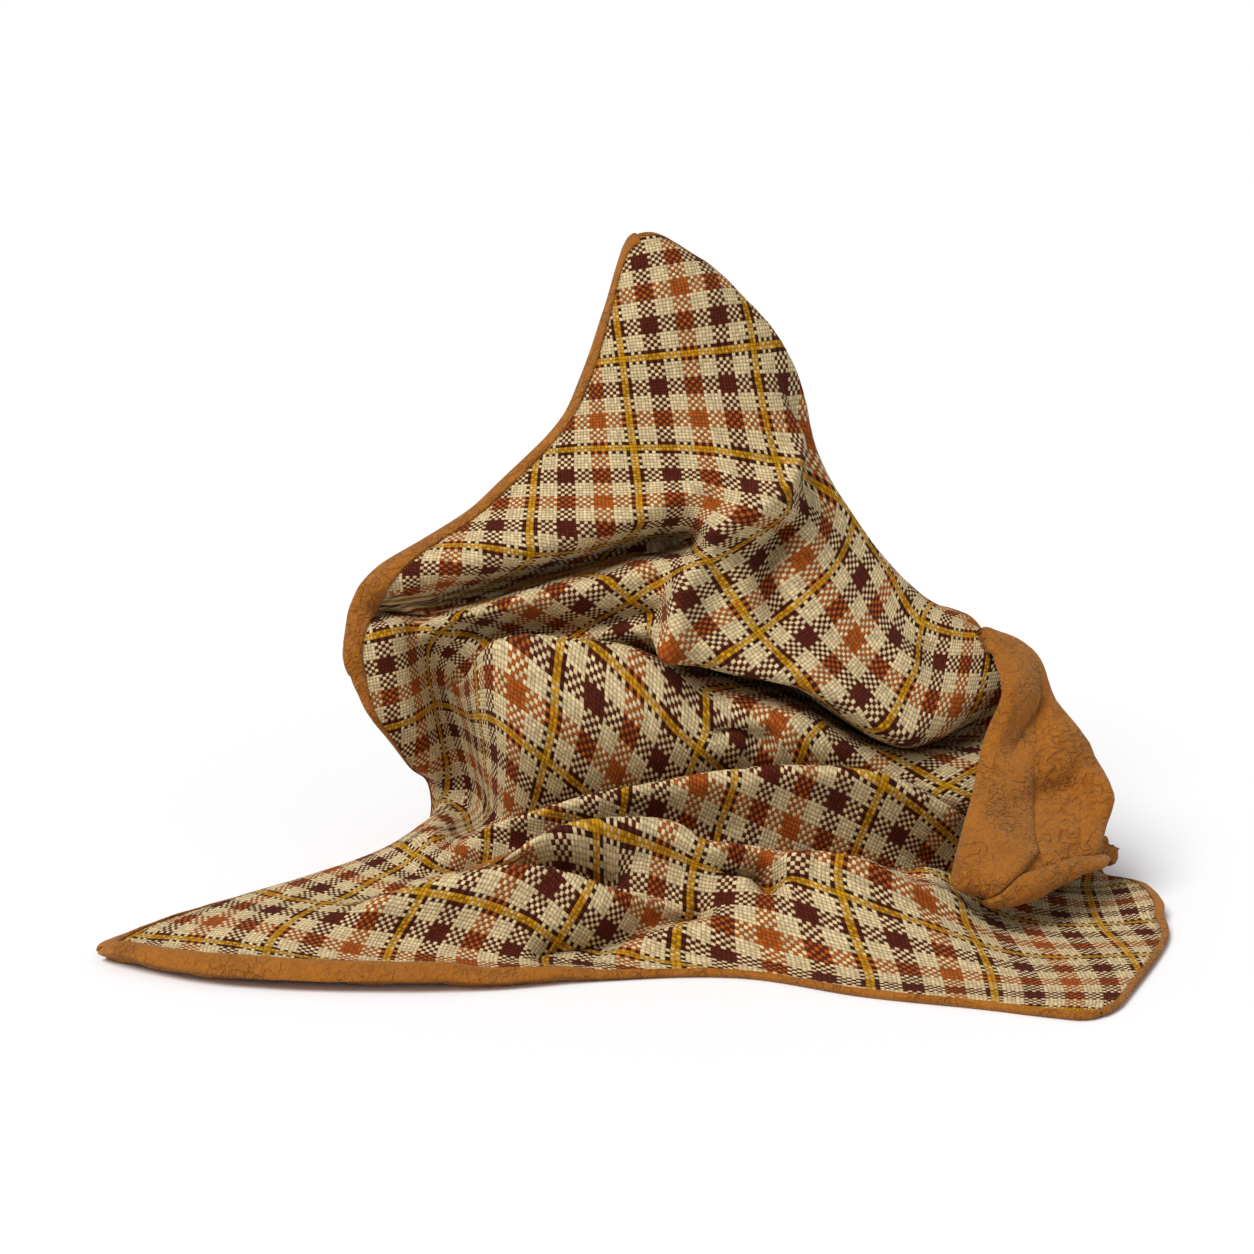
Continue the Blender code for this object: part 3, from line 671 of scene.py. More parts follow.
# The border's section. HEM is where it is sewn down. The rest are pairs, what a flat border has
# and what a plump one adds: how far it reaches over the face, how high it stands over the face,
# how far it swells past the edge, and how much deeper than the back it lies behind it.
HEM = 0.0034
REACH = (0.0048, 0.0265)
CROWN = (0.0012, 0.0042)
SWELL = (0.0015, 0.0115)
DEPTH = (0.0012, 0.0125)
# The part on the back: share of the band's width, and share of the depth there.
BACK_CURVE = ((0.01, 0.60), (0.05, 0.86), (0.13, 0.98), (0.26, 1.05), (0.44, 1.08),
              (0.62, 1.06), (0.78, 0.98), (0.89, 0.80), (0.96, 0.56), (1.0, 0.30))
# Height of the strip's underside over the face, and the gap between a strip and the rest.
TOUCH = 0.0003
GAP = 0.0002
# Heights above this are softened by unevenness.
SOFT_FROM = 0.0035


def side_of(side):
    """Start, length, direction and inward direction of an edge of the flat blanket."""
    number = SIDES.index(side)
    start, end = np.array(CORNERS[number]), np.array(CORNERS[(number + 1) % 4])
    total = np.linalg.norm(end - start)
    along = (end - start) / total
    return start, total, along, np.array((-along[1], along[0]))


def along_side(table, side, at):
    return np.interp(at, *np.array(table[side]).T)


def border_section(sizes, plump, puff):
    """Distances from the edge and heights of a border strip's section, as two arrays of
    (stations, points). It runs under the face, over the rolled edge and along the back."""
    band, face = sizes.band_width, sizes.face_thickness
    reach = REACH[0] + REACH[1] * plump
    swell = SWELL[0] + SWELL[1] * plump
    rise = 2 * CROWN[0] + CROWN[1] * plump
    deep = sizes.back_thickness + DEPTH[0] + DEPTH[1] * puff
    steps = [(band * share, -GAP) for share in (1.0, 0.84, 0.62, 0.44, 0.22)]
    steps += [(HEM, -GAP), (HEM, face + TOUCH), ((HEM + reach) / 2, face + TOUCH)]
    steps += [(reach - TOUCH, face + 2 * GAP)]
    middle = (reach - swell) / 2
    half = (reach + swell) / 2
    for angle in np.linspace(0, np.pi, 11)[1:]:
        lift = np.sin(angle) ** 0.75 if angle < np.pi - 1e-6 else 0.0
        base = face + TOUCH - (face + 0.0023) * (1 - np.cos(angle)) / 2
        steps.append((middle + half * np.cos(angle), base + rise * lift))
    steps += [(band * share, -deep * drop) for share, drop in BACK_CURVE]
    return (np.stack([np.broadcast_to(step[k], plump.shape) for step in steps], axis=1)
            for k in range(2))


def border_strip(sheet, side, sizes, material):
    """One fleece strip, rolled over the edge and laid on the back, with a mitre at each end."""
    band = sizes.band_width
    start, total, along, inward = side_of(side)
    count = int(total / sizes.grid_step)
    inner = np.linspace(band, total - band, count)
    slant = 2.2 * band
    near_low = np.clip(1 - (inner - band) / slant, 0, 1)
    near_high = np.clip(1 - (total - band - inner) / slant, 0, 1)
    outer = inner - band * near_low + band * near_high
    outer[0] += GAP
    outer[-1] -= GAP
    distance, height = border_section(
        sizes, along_side(PLUMP, side, outer), along_side(PUFF, side, outer))
    place = outer[:, None] + (inner - outer)[:, None] * np.clip(distance / band, 0, 1)
    edge = start + along * place[..., None]
    flat = rounded((edge + inward * np.clip(distance, 0, None)[..., None]).reshape(-1, 2))
    middle, normal = sheet.stand(flat)
    # Past the edge the section goes straight on.
    out = sheet.read(sheet.points, rounded(edge.reshape(-1, 2)))
    out -= sheet.read(sheet.points, rounded((edge + inward * 0.006).reshape(-1, 2)))
    out /= np.maximum(np.linalg.norm(out, axis=1), 1e-9)[:, None]
    over = np.maximum(-distance, 0).ravel()
    groove = 1 - 0.3 * np.exp(-np.minimum(outer, total - outer) / 0.004)
    height = (height * groove[:, None]).ravel()
    soft = 1 + 0.10 * noise(middle / 0.022, 3) + 0.06 * noise(middle / 0.009, 4)
    height = np.where(np.abs(height) > SOFT_FROM, height * soft, height)
    points = middle + normal * height[:, None] + out * over[:, None]
    points[:, 2] = np.maximum(points[:, 2], LOWEST)
    size = distance.shape[1]
    a = (np.arange(count - 1)[:, None] * size + np.arange(size)).ravel()
    b = (np.arange(count - 1)[:, None] * size + (np.arange(size) + 1) % size).ravel()
    faces = np.stack([a, b, b + size, a + size], axis=1).tolist()
    faces.append(range(size - 1, -1, -1))
    faces.append(range((count - 1) * size, count * size))
    return make_object("border_" + side, points, faces, material, flat)


# -------------------- Materials --------------------


class Nodes:
    """Short calls that add nodes to a tree and wire them."""

    def __init__(self, tree):
        self.tree = tree

    def add(self, kind, inputs=(), **settings):
        node = self.tree.nodes.new(kind)
        for key, value in settings.items():
            setattr(node, key, value)
        for key, value in dict(inputs).items():
            self.set(node.inputs[key], value)
        return node

    def set(self, socket, value):
        if isinstance(value, bpy.types.NodeSocket):
            self.tree.links.new(value, socket)
        else:
            socket.default_value = value

    def math(self, operation, *values):
        return self.add("ShaderNodeMath", enumerate(values), operation=operation).outputs[0]

    def vector(self, operation, *values):
        return self.add("ShaderNodeVectorMath", enumerate(values), operation=operation).outputs[0]

    def scaled(self, vector, by):
        return self.add("ShaderNodeVectorMath", {0: vector, "Scale": by},
                        operation="SCALE").outputs[0]

    def mix(self, factor, first, second):
        node = self.add("ShaderNodeMix", data_type="RGBA")
        self.set(node.inputs[0], factor)
        self.set(node.inputs[6], first)
        self.set(node.inputs[7], second)
        return node.outputs[2]

    def ramp(self, value, stops, interpolation="LINEAR"):
        node = self.add("ShaderNodeValToRGB", {0: value})
        node.color_ramp.interpolation = interpolation
        elements = node.color_ramp.elements
        for index, (position, colour) in enumerate(stops):
            if index < 2:
                element = elements[index]
                element.position = position
            else:
                element = elements.new(position)
            element.color = colour
        return node.outputs[0]

    def span(self, value, low, high, to_low=0.0, to_high=1.0):
        return self.add("ShaderNodeMapRange", {0: value, 1: low, 2: high, 3: to_low, 4: to_high},
                        clamp=True).outputs[0]


def new_group(name, inputs, outputs):
    """A shader node group with named sockets, and its helper, input node and output node."""
    group = bpy.data.node_groups.new(name, "ShaderNodeTree")
    for label, kind, value in inputs:
        socket = group.interface.new_socket(label, in_out="INPUT", socket_type=kind)
        if value is not None:
            socket.default_value = value
    for label, kind in outputs:
        group.interface.new_socket(label, in_out="OUTPUT", socket_type=kind)
    nodes = Nodes(group)
    return group, nodes, nodes.add("NodeGroupInput").outputs, nodes.add("NodeGroupOutput").inputs


def plaid_order():
    """Yarn colours of one repeat: each entry is a colour name and how many yarns it takes."""
    stripe = (("plum", 1), ("mustard", 2), ("plum", 1))
    wide = ("cream", "burgundy", "cream", "rust", "cream", "burgundy", "cream")
    narrow = ("cream", "burgundy", "cream", "rust", "cream")
    return (*stripe, *((name, 5) for name in wide), *stripe, *((name, 5) for name in narrow))


def yarn_colour_group(colours):
    """Colour of the yarn that has a given number, and whether it is a lofty one."""
    group, nodes, given, result = new_group(
        "Yarn Colour", [("Number", "NodeSocketFloat", 0.0)],
        [("Color", "NodeSocketColor"), ("Loft", "NodeSocketFloat")])
    order = plaid_order()
    total = sum(count for _, count in order)
    place = nodes.math("FLOORED_MODULO", given["Number"], float(total))
    place = nodes.math("DIVIDE", nodes.math("ADD", place, 0.5), float(total))
    stops, lofty, at = [], [], 0
    for name, count in order:
        stops.append((at / total, colours[name]))
        lofty.append((at / total, (1, 1, 1, 1) if name == "mustard" else (0, 0, 0, 1)))
        at += count
    nodes.set(result["Color"], nodes.ramp(place, stops, "CONSTANT"))
    nodes.set(result["Loft"], nodes.ramp(place, lofty, "CONSTANT"))
    return group


# How far the yarns wander, how much of what crosses them the lofty ones hide, the painted shade
# that makes a yarn's sides darker than its crown, and how strongly twist and nubs show.
WANDER = 0.0016
LOFT_COVER = 0.55
SIDE_SHADE, CROWN_SHADE = 0.36, 0.66
TWIST_SHADE, NUB_SHADE = 0.9, 0.9
GRAIN_SPREAD = 0.20


def weave_group(colours):
    """Plain weave of thick yarns: colour with painted shade on each yarn's sides, and relief
    height.
    """
    yarn = yarn_colour_group(colours)
    group, nodes, given, result = new_group(
        "Plaid Weave",
        [("Cloth", "NodeSocketVector", None), ("Yarn Pitch", "NodeSocketFloat", 0.0042),
         ("Unevenness", "NodeSocketFloat", 0.12)],
        [("Color", "NodeSocketColor"), ("Height", "NodeSocketFloat")])
    math = nodes.math

    def grain(scale, detail, roughness=0.5):
        return nodes.add("ShaderNodeTexNoise", {"Vector": cloth, "Scale": scale, "Detail": detail,
                                                "Roughness": roughness}).outputs

    cloth = given["Cloth"]
    wander = nodes.vector("SUBTRACT", grain(60.0, 2.0)["Color"], (0.5, 0.5, 0.5))
    cloth = nodes.vector("ADD", cloth, nodes.scaled(wander, WANDER))
    pitch = nodes.add("ShaderNodeCombineXYZ", {0: given["Yarn Pitch"], 1: given["Yarn Pitch"],
                                               2: 1.0}).outputs[0]
    parts = nodes.add("ShaderNodeSeparateXYZ", {0: nodes.vector("DIVIDE", cloth, pitch)}).outputs
    numbers = [math("FLOOR", parts[k]) for k in range(2)]
    across = [math("FRACT", parts[k]) for k in range(2)]
    parity = math("FLOORED_MODULO", math("ADD", *numbers), 2.0)

    tones, lofts = [], []
    for number, seed in zip(numbers, (0.0, 7.3)):
        used = nodes.add("ShaderNodeGroup", {"Number": number}, node_tree=yarn).outputs
        shade = nodes.add("ShaderNodeTexWhiteNoise", {"W": math("ADD", number, seed)},
                          noise_dimensions="1D").outputs["Value"]
        shade = math("MULTIPLY_ADD", math("SUBTRACT", shade, 0.5), given["Unevenness"], 1.0)
        tones.append(nodes.scaled(used["Color"], shade))
        lofts.append(used["Loft"])
    top = nodes.mix(parity, *tones)
    # The mustard yarns are loftier and half hide those that cross over them.
    for tone, loft in zip(tones, lofts):
        top = nodes.mix(math("MULTIPLY", loft, LOFT_COVER), top, tone)

    def mound(over, along):
        """Rise of the yarn on top over one crossing."""
        side, way = (math("SUBTRACT", math("MULTIPLY", share, 2.0), 1.0)
                     for share in (over, along))
        side = math("MAXIMUM", math("SUBTRACT", 1.0, math("MULTIPLY", side, side)), 0.0)
        way = math("SUBTRACT", 1.0, math("MULTIPLY", math("MULTIPLY", way, way), 0.72))
        return math("MULTIPLY", math("SQRT", side), way)

    rise = nodes.add("ShaderNodeMix", {0: parity, 2: mound(*across),
                                       3: mound(*reversed(across))}).outputs[0]
    twist = grain(900.0, 3.0, 0.6)["Fac"]
    nubs = grain(420.0, 2.0, 0.55)["Fac"]
    cell = nodes.add("ShaderNodeCombineXYZ", {0: numbers[0], 1: numbers[1], 2: 1.0}).outputs[0]
    grains = nodes.add("ShaderNodeTexWhiteNoise", {"Vector": cell}).outputs["Value"]
    # Painted shade: each yarn's colour is darker at its sides than at its crown; twist and nubs add
    # speckle.
    shade = math("MULTIPLY_ADD", rise, CROWN_SHADE, SIDE_SHADE)
    for speckle, strength in ((twist, TWIST_SHADE), (nubs, NUB_SHADE)):
        shade = math("ADD", shade, math("MULTIPLY", math("SUBTRACT", speckle, 0.5), strength))
    spread = nodes.span(grains, 0.0, 1.0, 1 - GRAIN_SPREAD, 1 + GRAIN_SPREAD)
    nodes.set(result["Color"], nodes.scaled(top, math("MULTIPLY", shade, spread)))
    nodes.set(result["Height"], math("ADD", rise, math(
        "ADD", math("MULTIPLY", twist, 0.35), math("MULTIPLY", nubs, 0.6))))
    return group


def fleece_group():
    """Short pile that clumps into soft crinkles: painted shade in the creases with the pile's tone,
    and relief height.
    """
    group, nodes, given, result = new_group(
        "Fleece Pile",
        [("Vector", "NodeSocketVector", None), ("Crinkle Size", "NodeSocketFloat", 0.012)],
        [("Shade", "NodeSocketFloat"), ("Height", "NodeSocketFloat")])
    math = nodes.math
    scale = math("DIVIDE", 1.0, given["Crinkle Size"])

    def field(vector, times):
        """Smooth noise with features this many times a crinkle's frequency."""
        return nodes.add("ShaderNodeTexNoise", {"Vector": vector, "Detail": 1.0,
                                                "Scale": math("MULTIPLY", scale, times)}).outputs

    swirl = nodes.vector("SUBTRACT", field(given["Vector"], 0.9)["Color"], (0.5, 0.5, 0.5))
    swirl = nodes.scaled(swirl, math("MULTIPLY", given["Crinkle Size"], 1.3))
    warped = nodes.vector("ADD", given["Vector"], swirl)

    def creases(times, width):
        """Thin wandering valleys where a smooth noise crosses its middle."""
        off = math("ABSOLUTE", math("SUBTRACT", field(warped, times)["Fac"], 0.5))
        return nodes.add("ShaderNodeMapRange", {0: off, 1: 0.0, 2: width, 3: 0.0, 4: 1.0},
                         interpolation_type="SMOOTHSTEP", clamp=True).outputs[0]

    crease_relief_and_shade = math("ADD", math("MULTIPLY", creases(0.62, 0.085), 0.6),
                 math("MULTIPLY", creases(1.35, 0.13), 0.4))
    patch = nodes.span(field(given["Vector"], 0.16)["Fac"], 0.36, 0.60, 0.40, 1.0)
    crease_relief_and_shade = math("SUBTRACT", 1.0, math("MULTIPLY", math("SUBTRACT", 1.0, crease_relief_and_shade), patch))
    pile = nodes.add("ShaderNodeTexNoise", {"Vector": given["Vector"], "Scale": 700.0,
                                            "Detail": 3.0, "Roughness": 0.65}).outputs["Fac"]
    broad = nodes.add("ShaderNodeTexNoise", {"Vector": given["Vector"], "Scale": 14.0,
                                             "Detail": 2.0}).outputs["Fac"]
    # Painted shade: the creases are painted darker; the pile and broad noise add tone that differs
    # at random.
    shade = math("ADD", math("MULTIPLY", crease_relief_and_shade, 0.26), math("MULTIPLY", pile, 0.49))
    nodes.set(result["Shade"], math("ADD", shade, math("MULTIPLY", broad, 0.25)))
    nodes.set(result["Height"], math("ADD", crease_relief_and_shade, math("MULTIPLY", pile, 0.30)))
    return group


def new_material(name, **constants):
    """A material, its nodes and its shader's sockets, after these constants are set on them."""
    material = bpy.data.materials.new(name)
    material.use_nodes = True
    shader = material.node_tree.nodes["Principled BSDF"].inputs
    for label, value in constants.items():
        shader[label.replace("_", " ")].default_value = value
    return material, Nodes(material.node_tree), shader


def plaid_material(colours, pitch):
    material, nodes, shader = new_material(
        "Plaid Wool", Roughness=0.92, Specular_IOR_Level=0.10, Sheen_Weight=0.02,
        Sheen_Roughness=0.5)
    cloth = nodes.add("ShaderNodeUVMap", uv_map="Cloth").outputs[0]
    weave = nodes.add("ShaderNodeGroup", {"Cloth": cloth, "Yarn Pitch": pitch},
                      node_tree=weave_group(colours)).outputs
    bump = nodes.add("ShaderNodeBump", {"Height": weave["Height"], "Strength": 0.7,
                                        "Distance": 0.0011})
    nodes.set(shader["Base Color"], weave["Color"])
    nodes.set(shader["Normal"], bump.outputs[0])
    return material


def fleece_material(name, colour, crinkle):
    material, nodes, shader = new_material(
        name, Roughness=0.95, Specular_IOR_Level=0.15, Sheen_Weight=0.22, Sheen_Roughness=0.5,
        Sheen_Tint=(1.0, 0.78, 0.48, 1))
    place = nodes.add("ShaderNodeTexCoord").outputs["Object"]
    tree = bpy.data.node_groups.get("Fleece Pile") or fleece_group()
    pile = nodes.add("ShaderNodeGroup", {"Vector": place, "Crinkle Size": crinkle},
                     node_tree=tree).outputs
    # The base colour runs between a darker and a lighter copy of the fleece colour: darker in the
    # creases as painted shade, and with the pile's random tone.
    dark = (colour[0] * 0.55, colour[1] * 0.46, colour[2] * 0.40, 1)
    light = (colour[0] * 1.22, colour[1] * 1.30, colour[2] * 1.55, 1)
    shade = nodes.span(pile["Shade"], 0.30, 0.82)
    nodes.set(shader["Base Color"], nodes.mix(shade, dark, light))
    bump = nodes.add("ShaderNodeBump", {"Height": pile["Height"], "Strength": 0.9,
                                        "Distance": 0.0034})
    nodes.set(shader["Normal"], bump.outputs[0])
    return material


def crinkles(flat, size, height):
    """Heights of the soft crinkles that felted fleece dries into, at flat positions."""
    bend = [noise(flat / (size * 1.7) + k * 31.7, 40 + k) for k in range(2)]
    place = flat / size + np.stack(bend, axis=1) * 0.9
    ridge = 1 - np.abs(noise(place, 51)) * 1.9
    fine = 1 - np.abs(noise(place * 1.9 + 5.3, 52)) * 1.9
    patch = 0.55 + 0.45 * noise(flat / (size * 7), 53)
    return height * patch * (0.7 * ridge + 0.3 * fine)


# -------------------- Seam stitches --------------------


# Distance from one stitch to the next, a stitch's length, and half the thread's thickness.
STITCH = (("Pitch", 0.0042), ("Stitch Length", 0.0032), ("Thread", 0.0004))
# How far past the border's roll the seam runs, and how high over the weave.
SEAM_BESIDE = 0.0014
SEAM_ABOVE = 0.0002


def stitch_tree(material):
    """Geometry nodes that set short stitches end to end along a seam's curve."""
    tree = bpy.data.node_groups.new("Seam Stitches", "GeometryNodeTree")
    tree.is_modifier = True
    tree.interface.new_socket("Geometry", in_out="INPUT", socket_type="NodeSocketGeometry")
    sockets = {}
    for label, value in STITCH:
        socket = tree.interface.new_socket(label, in_out="INPUT", socket_type="NodeSocketFloat")
        socket.default_value = value
        socket.subtype = "DISTANCE"
        sockets[label] = socket.identifier
    tree.interface.new_socket("Geometry", in_out="OUTPUT", socket_type="NodeSocketGeometry")
    nodes = Nodes(tree)
    given = nodes.add("NodeGroupInput").outputs
    curve = nodes.add("GeometryNodeMeshToCurve", {0: given["Geometry"]}).outputs[0]
    spaced = nodes.add("GeometryNodeCurveToPoints", {0: curve}, mode="LENGTH")
    nodes.set(spaced.inputs["Length"], given["Pitch"])
    shape = nodes.add("GeometryNodeMeshUVSphere", {"Segments": 6, "Rings": 4})
    stretch = nodes.add("ShaderNodeCombineXYZ", {0: given["Thread"], 1: given["Thread"]})
    nodes.set(stretch.inputs[2], nodes.math("MULTIPLY", given["Stitch Length"], 0.5))
    sized = nodes.add("GeometryNodeTransform", {0: shape.outputs[0], "Scale": stretch.outputs[0]})
    placed = nodes.add("GeometryNodeInstanceOnPoints", {
        "Points": spaced.outputs["Points"], "Instance": sized.outputs[0],
        "Rotation": spaced.outputs["Rotation"]})
    real = nodes.add("GeometryNodeRealizeInstances", {0: placed.outputs[0]})
    done = nodes.add("GeometryNodeSetMaterial", {0: real.outputs[0], "Material": material})
    smooth = nodes.add("GeometryNodeSetShadeSmooth", {0: done.outputs[0]})
    nodes.set(nodes.add("NodeGroupOutput").inputs[0], smooth.outputs[0])
    return tree, sockets


def seam_line(sheet, face):
    """Points once round the border's seam, just above the weave."""
    lines = []
    for side in SIDES:
        start, total, along, inward = side_of(side)
        at = np.linspace(CORNER_RADIUS, total - CORNER_RADIUS, int(total / 0.004))
        inset = REACH[0] + REACH[1] * along_side(PLUMP, side, at) + SEAM_BESIDE
        lines.append(start + along * at[:, None] + inward * inset[:, None])
    middle, normal = sheet.stand(rounded(np.concatenate(lines)))
    return middle + normal * (face + SEAM_ABOVE)


# -------------------- Settings --------------------


def colour_setting(name, description, value):
    return FloatVectorProperty(name=name, description=description, subtype="COLOR", size=3,
                               min=0.0, max=1.0, default=value)


def length_setting(name, description, value, low, high):
    return FloatProperty(name=name, description=description, default=value, min=low, max=high,
                         unit="LENGTH", precision=4)


class BlanketSizes(PropertyGroup):
    face_thickness: length_setting(
        "Face Thickness", "Thickness of the woven face", 0.0025, 0.001, 0.005)
    back_thickness: length_setting(
        "Back Thickness", "Thickness of the fleece back", 0.0065, 0.002, 0.012)
    band_width: length_setting(
        "Band Width", "Width of the fleece border on the back", 0.045, 0.025, 0.08)
    yarn_pitch: length_setting(
        "Yarn Pitch", "Distance between the yarns of the weave", 0.0042, 0.001, 0.01)
    crinkle_size: length_setting(
        "Crinkle Size", "Width of one crinkle in the fleece", 0.013, 0.004, 0.04)
    crinkle_height: length_setting(
        "Crinkle Height", "Depth of the crinkles in the fleece", 0.0011, 0.0, 0.004)
    grid_step: length_setting(
        "Mesh Step", "Distance between mesh points along the border", 0.0028, 0.001, 0.02)
    rows: IntProperty(name="Rows", description="Mesh rows of the sheet, from the peak to the "
                      "front edge", default=228, min=60, max=600)
    columns: IntProperty(name="Columns", description="Mesh columns across the sheet",
                         default=214, min=40, max=500)


class BlanketColours(PropertyGroup):
    cream: colour_setting("Cream", "Cream yarn", (0.72, 0.55, 0.30))
    burgundy: colour_setting("Burgundy", "Burgundy yarn", (0.092, 0.015, 0.006))
    rust: colour_setting("Rust", "Rust yarn", (0.385, 0.086, 0.011))
    mustard: colour_setting("Mustard", "Mustard yarn", (0.57, 0.27, 0.008))
    plum: colour_setting("Plum", "Dark yarn beside the mustard one", (0.036, 0.009, 0.005))
    fleece: colour_setting("Fleece", "Fleece of the back and the border", (0.385, 0.130, 0.012))
    thread: colour_setting("Thread", "Sewing thread of the seam", (0.42, 0.17, 0.03))


class BlanketStageSettings(PropertyGroup):
    distance: length_setting(
        "Camera Distance", "Distance from the camera to the point it looks at", 3.7, 1.0, 20.0)
    elevation: FloatProperty(name="Camera Elevation", description="Angle of the camera above the "
                             "ground", subtype="ANGLE", default=float(np.radians(16.0)),
                             min=0.0, max=1.5)
    key: FloatProperty(name="Key Light", description="Strength of the wide light from the upper "
                       "left", default=2.55, min=0.0, max=20.0)
    fill: FloatProperty(name="Fill Light", description="Strength of the light from all round",
                        default=0.43, min=0.0, max=5.0)


# -------------------- Operators --------------------

SHEET = []
YARN_RELIEF = 0.0003
BORDER_CRINKLE = 0.010
FLOOR_RADIUS = 9.0
AIM_HEIGHT = 0.35
FOCAL_LENGTH = 85.0
SUN_ANGLE = 0.6
SUN_WAY = (0.50, 0.42, -1.0)


def shared_sheet():
    """The middle surface, made once for all the pieces."""
    if not SHEET:
        coarse = Sheet(*COARSE_GRID)
        lay_pattern(coarse, bpy.context.scene.blanket_sizes.yarn_pitch)
        sheet = Sheet(*FINE_GRID)
        pattern = coarse.read(coarse.pattern, sheet.flat.reshape(-1, 2))
        sheet.pattern = pattern.reshape(sheet.pattern.shape)
        SHEET.append(sheet)
    return SHEET[0]


def linear(colour):
    return (*colour, 1.0)


class OBJECT_OT_blanket_face(Operator):
    """Lay the woven plaid face over the heap"""

    bl_idname = "object.blanket_face"
    bl_label = "Plaid Face"

    def execute(self, context):
        sizes, tones = context.scene.blanket_sizes, context.scene.blanket_colours
        names = ("cream", "burgundy", "rust", "mustard", "plum")
        colours = {name: linear(getattr(tones, name)) for name in names}
        material = plaid_material(colours, sizes.yarn_pitch)

        def top(flat, pattern):
            waves = np.sin(pattern / sizes.yarn_pitch * np.pi)
            return sizes.face_thickness + YARN_RELIEF * waves[:, 0] * waves[:, 1]

        face = closed_layer("plaid_face_cloth", shared_sheet(), SEAM, sizes.rows, sizes.columns,
                            top, 0.0001, material)
        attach(face, "root")
        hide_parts("plaid_face")
        return {"FINISHED"}


class OBJECT_OT_blanket_back(Operator):
    """Lay the fleece back under the face, with its crinkles"""

    bl_idname = "object.blanket_back"
    bl_label = "Fleece Back"

    def execute(self, context):
        sizes, tones = context.scene.blanket_sizes, context.scene.blanket_colours
        material = fleece_material("Fleece", tones.fleece, sizes.crinkle_size)

        def bottom(flat, pattern):
            crinkle = crinkles(flat, sizes.crinkle_size, sizes.crinkle_height)
            return -sizes.back_thickness - 0.0005 - crinkle

        back = closed_layer("fleece_back_cloth", shared_sheet(), SEAM, sizes.rows,
                            sizes.columns, -0.0001, bottom, material)
        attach(back, "root")
        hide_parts("fleece_backing")
        return {"FINISHED"}


class OBJECT_OT_blanket_borders(Operator):
    """Roll the four fleece border strips over the edges, with mitred corners"""

    bl_idname = "object.blanket_borders"
    bl_label = "Fleece Borders"

    def execute(self, context):
        sizes, tones = context.scene.blanket_sizes, context.scene.blanket_colours
        material = fleece_material("Border Fleece", tones.fleece, BORDER_CRINKLE)
        for side in SIDES:
            strip = border_strip(shared_sheet(), side, sizes, material)
            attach(strip, "root")
            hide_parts("binding_" + side)
        return {"FINISHED"}


class OBJECT_OT_blanket_stage(Operator):
    """Set the pale floor, the soft lights and the camera"""

    bl_idname = "object.blanket_stage"
    bl_label = "Stage"

    def execute(self, context):
        scene, settings = context.scene, context.scene.blanket_stage
        ring = np.linspace(0, 2 * np.pi, 65)[:-1]
        points = FLOOR_RADIUS * np.stack([np.cos(ring), np.sin(ring), 0 * ring], axis=1)
        material, _, _ = new_material("Pale Paper", Base_Color=(0.92, 0.92, 0.925, 1),
                                      Roughness=0.9, Specular_IOR_Level=0.1)
        floor = make_object("ground", points, [range(len(points))], material)
        floor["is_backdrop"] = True

        aim = Vector((DRAWN_FROM[0], DRAWN_FROM[1], AIM_HEIGHT))
        away = Vector((0, -np.cos(settings.elevation), np.sin(settings.elevation)))
        camera = bpy.data.objects.new("camera", bpy.data.cameras.new("camera"))
        camera.data.lens = FOCAL_LENGTH
        camera.location = aim + away * settings.distance
        camera.rotation_euler = (-away).to_track_quat("-Z", "Y").to_euler()
        scene.collection.objects.link(camera)
        scene.camera = camera

        sun = bpy.data.lights.new("key_light", "SUN")
        sun.energy = settings.key
        sun.angle = SUN_ANGLE
        key = bpy.data.objects.new("key_light", sun)
        key.rotation_euler = Vector(SUN_WAY).to_track_quat("-Z", "Y").to_euler()
        scene.collection.objects.link(key)
        world = bpy.data.worlds.new("Pale Room")
        world.use_nodes = True
        nodes = Nodes(world.node_tree)
        shown = nodes.add("ShaderNodeLightPath").outputs["Is Camera Ray"]
        background = world.node_tree.nodes["Background"].inputs
        background["Color"].default_value = (1, 1, 1, 1)
        nodes.set(background["Strength"], nodes.span(shown, 0.0, 1.0, settings.fill, 1.0))
        scene.world = world
        scene.view_settings.view_transform = "Standard"
        return {"FINISHED"}


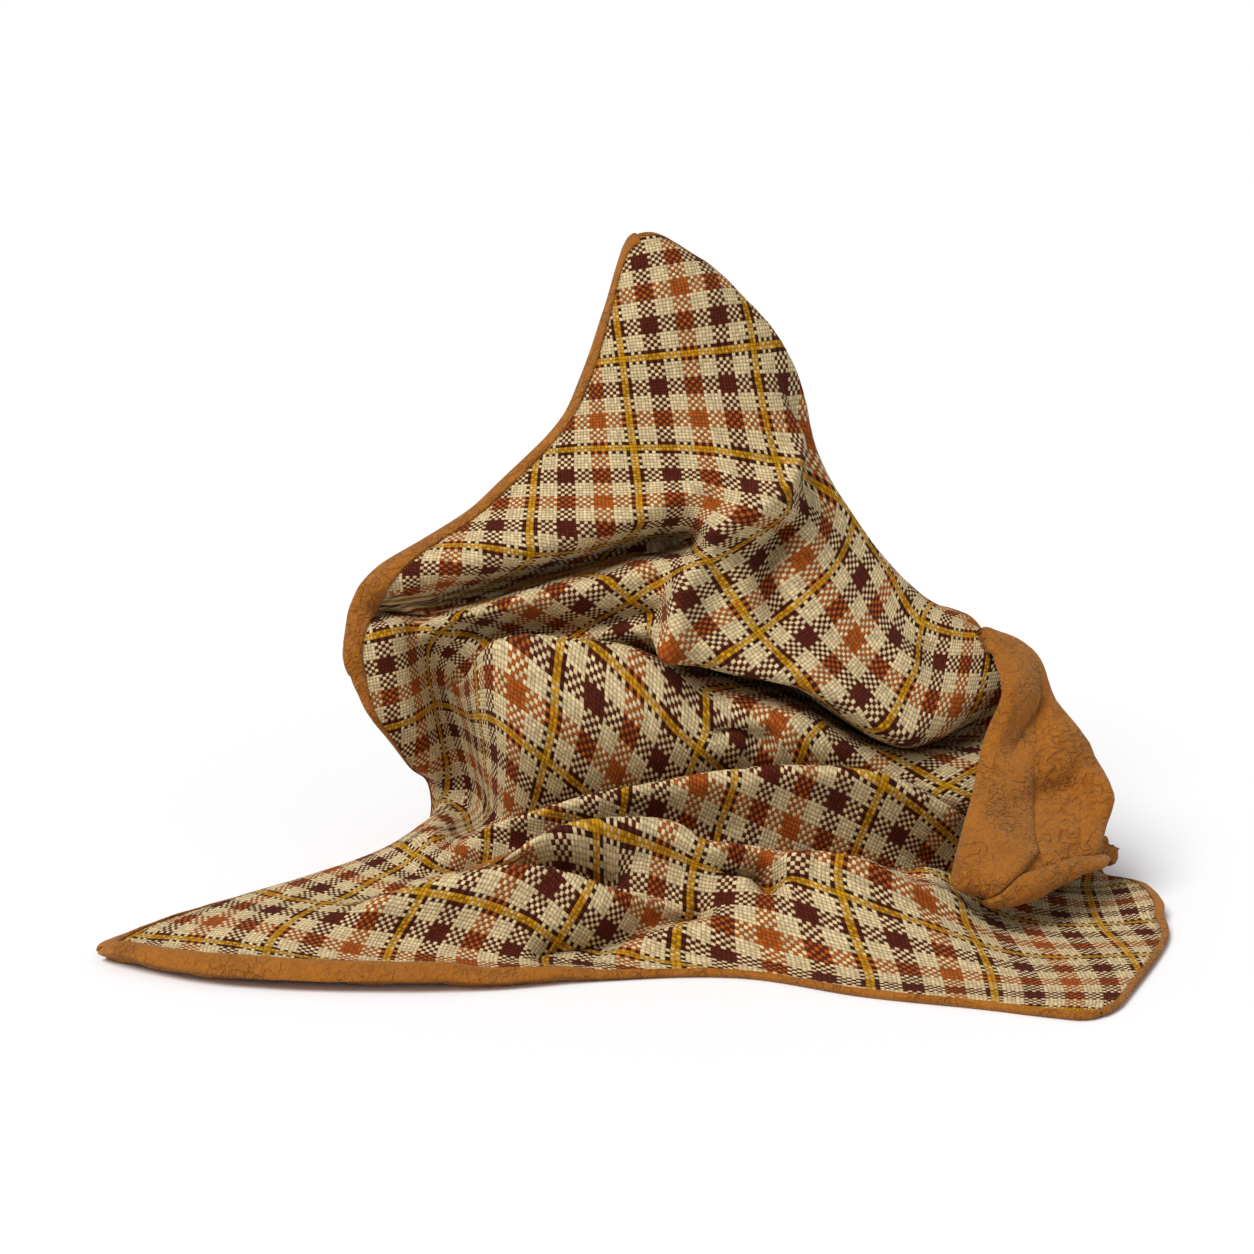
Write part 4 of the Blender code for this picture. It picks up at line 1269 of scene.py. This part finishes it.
class OBJECT_OT_blanket_stitches(Operator):
    """Sew the border's seam with short stitches"""

    bl_idname = "object.blanket_stitches"
    bl_label = "Seam Stitches"

    def execute(self, context):
        material, nodes, shader = new_material("Sewing Thread", Roughness=0.6)
        place = nodes.add("ShaderNodeTexCoord").outputs["Object"]
        twist = nodes.add("ShaderNodeTexNoise", {"Vector": place, "Scale": 900.0}).outputs["Fac"]
        thread = context.scene.blanket_colours.thread
        dark = linear(tone * 0.6 for tone in thread)
        nodes.set(shader["Base Color"], nodes.mix(twist, dark, linear(thread)))
        points = seam_line(shared_sheet(), context.scene.blanket_sizes.face_thickness)
        mesh = bpy.data.meshes.new("seam")
        edges = [(i, (i + 1) % len(points)) for i in range(len(points))]
        mesh.from_pydata(points.tolist(), edges, [])
        seam = bpy.data.objects.new("seam", mesh)
        context.scene.collection.objects.link(seam)
        tree, sockets = stitch_tree(material)
        modifier = seam.modifiers.new("Stitches", "NODES")
        modifier.node_group = tree
        for label, value in STITCH:
            modifier[sockets[label]] = value
        graph = context.evaluated_depsgraph_get()
        made = bpy.data.meshes.new_from_object(seam.evaluated_get(graph))
        bpy.data.objects.remove(seam)
        stitches = bpy.data.objects.new("seam_stitches", made)
        context.scene.collection.objects.link(stitches)
        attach(stitches, "root")
        return {"FINISHED"}


class VIEW3D_PT_blanket(Panel):
    """Sizes, colours and pieces of the blanket"""

    bl_label = "Camp Blanket"
    bl_idname = "VIEW3D_PT_blanket"
    bl_space_type = "VIEW_3D"
    bl_region_type = "UI"
    bl_category = "Blanket"

    def draw(self, context):
        scene = context.scene
        for title, group in (("Sizes", scene.blanket_sizes), ("Colours", scene.blanket_colours),
                             ("Stage", scene.blanket_stage)):
            box = self.layout.box()
            box.label(text=title)
            for name in group.bl_rna.properties.keys():
                if name not in {"rna_type", "name"}:
                    box.prop(group, name)
        for maker in MAKERS:
            self.layout.operator(maker.bl_idname)


GROUPS = (("blanket_sizes", BlanketSizes), ("blanket_colours", BlanketColours),
          ("blanket_stage", BlanketStageSettings))
MAKERS = (OBJECT_OT_blanket_face, OBJECT_OT_blanket_back, OBJECT_OT_blanket_borders,
          OBJECT_OT_blanket_stitches, OBJECT_OT_blanket_stage)


def register():
    for name, group in GROUPS:
        bpy.utils.register_class(group)
        setattr(bpy.types.Scene, name, PointerProperty(type=group))
    for maker in MAKERS:
        bpy.utils.register_class(maker)
    bpy.utils.register_class(VIEW3D_PT_blanket)


def unregister():
    bpy.utils.unregister_class(VIEW3D_PT_blanket)
    for maker in reversed(MAKERS):
        bpy.utils.unregister_class(maker)
    for name, group in reversed(GROUPS):
        delattr(bpy.types.Scene, name)
        bpy.utils.unregister_class(group)


def main():
    register()
    bpy.ops.object.blanket_stage()
    bpy.ops.object.blanket_face()
    bpy.ops.object.blanket_back()
    bpy.ops.object.blanket_borders()
    bpy.ops.object.blanket_stitches()
    boxes = {"cad": CAD_BOX, "visual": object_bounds()}
    plain = {key: [[float(x) for x in corner] for corner in box] for key, box in boxes.items()}


if __name__ == "__main__":
    main()
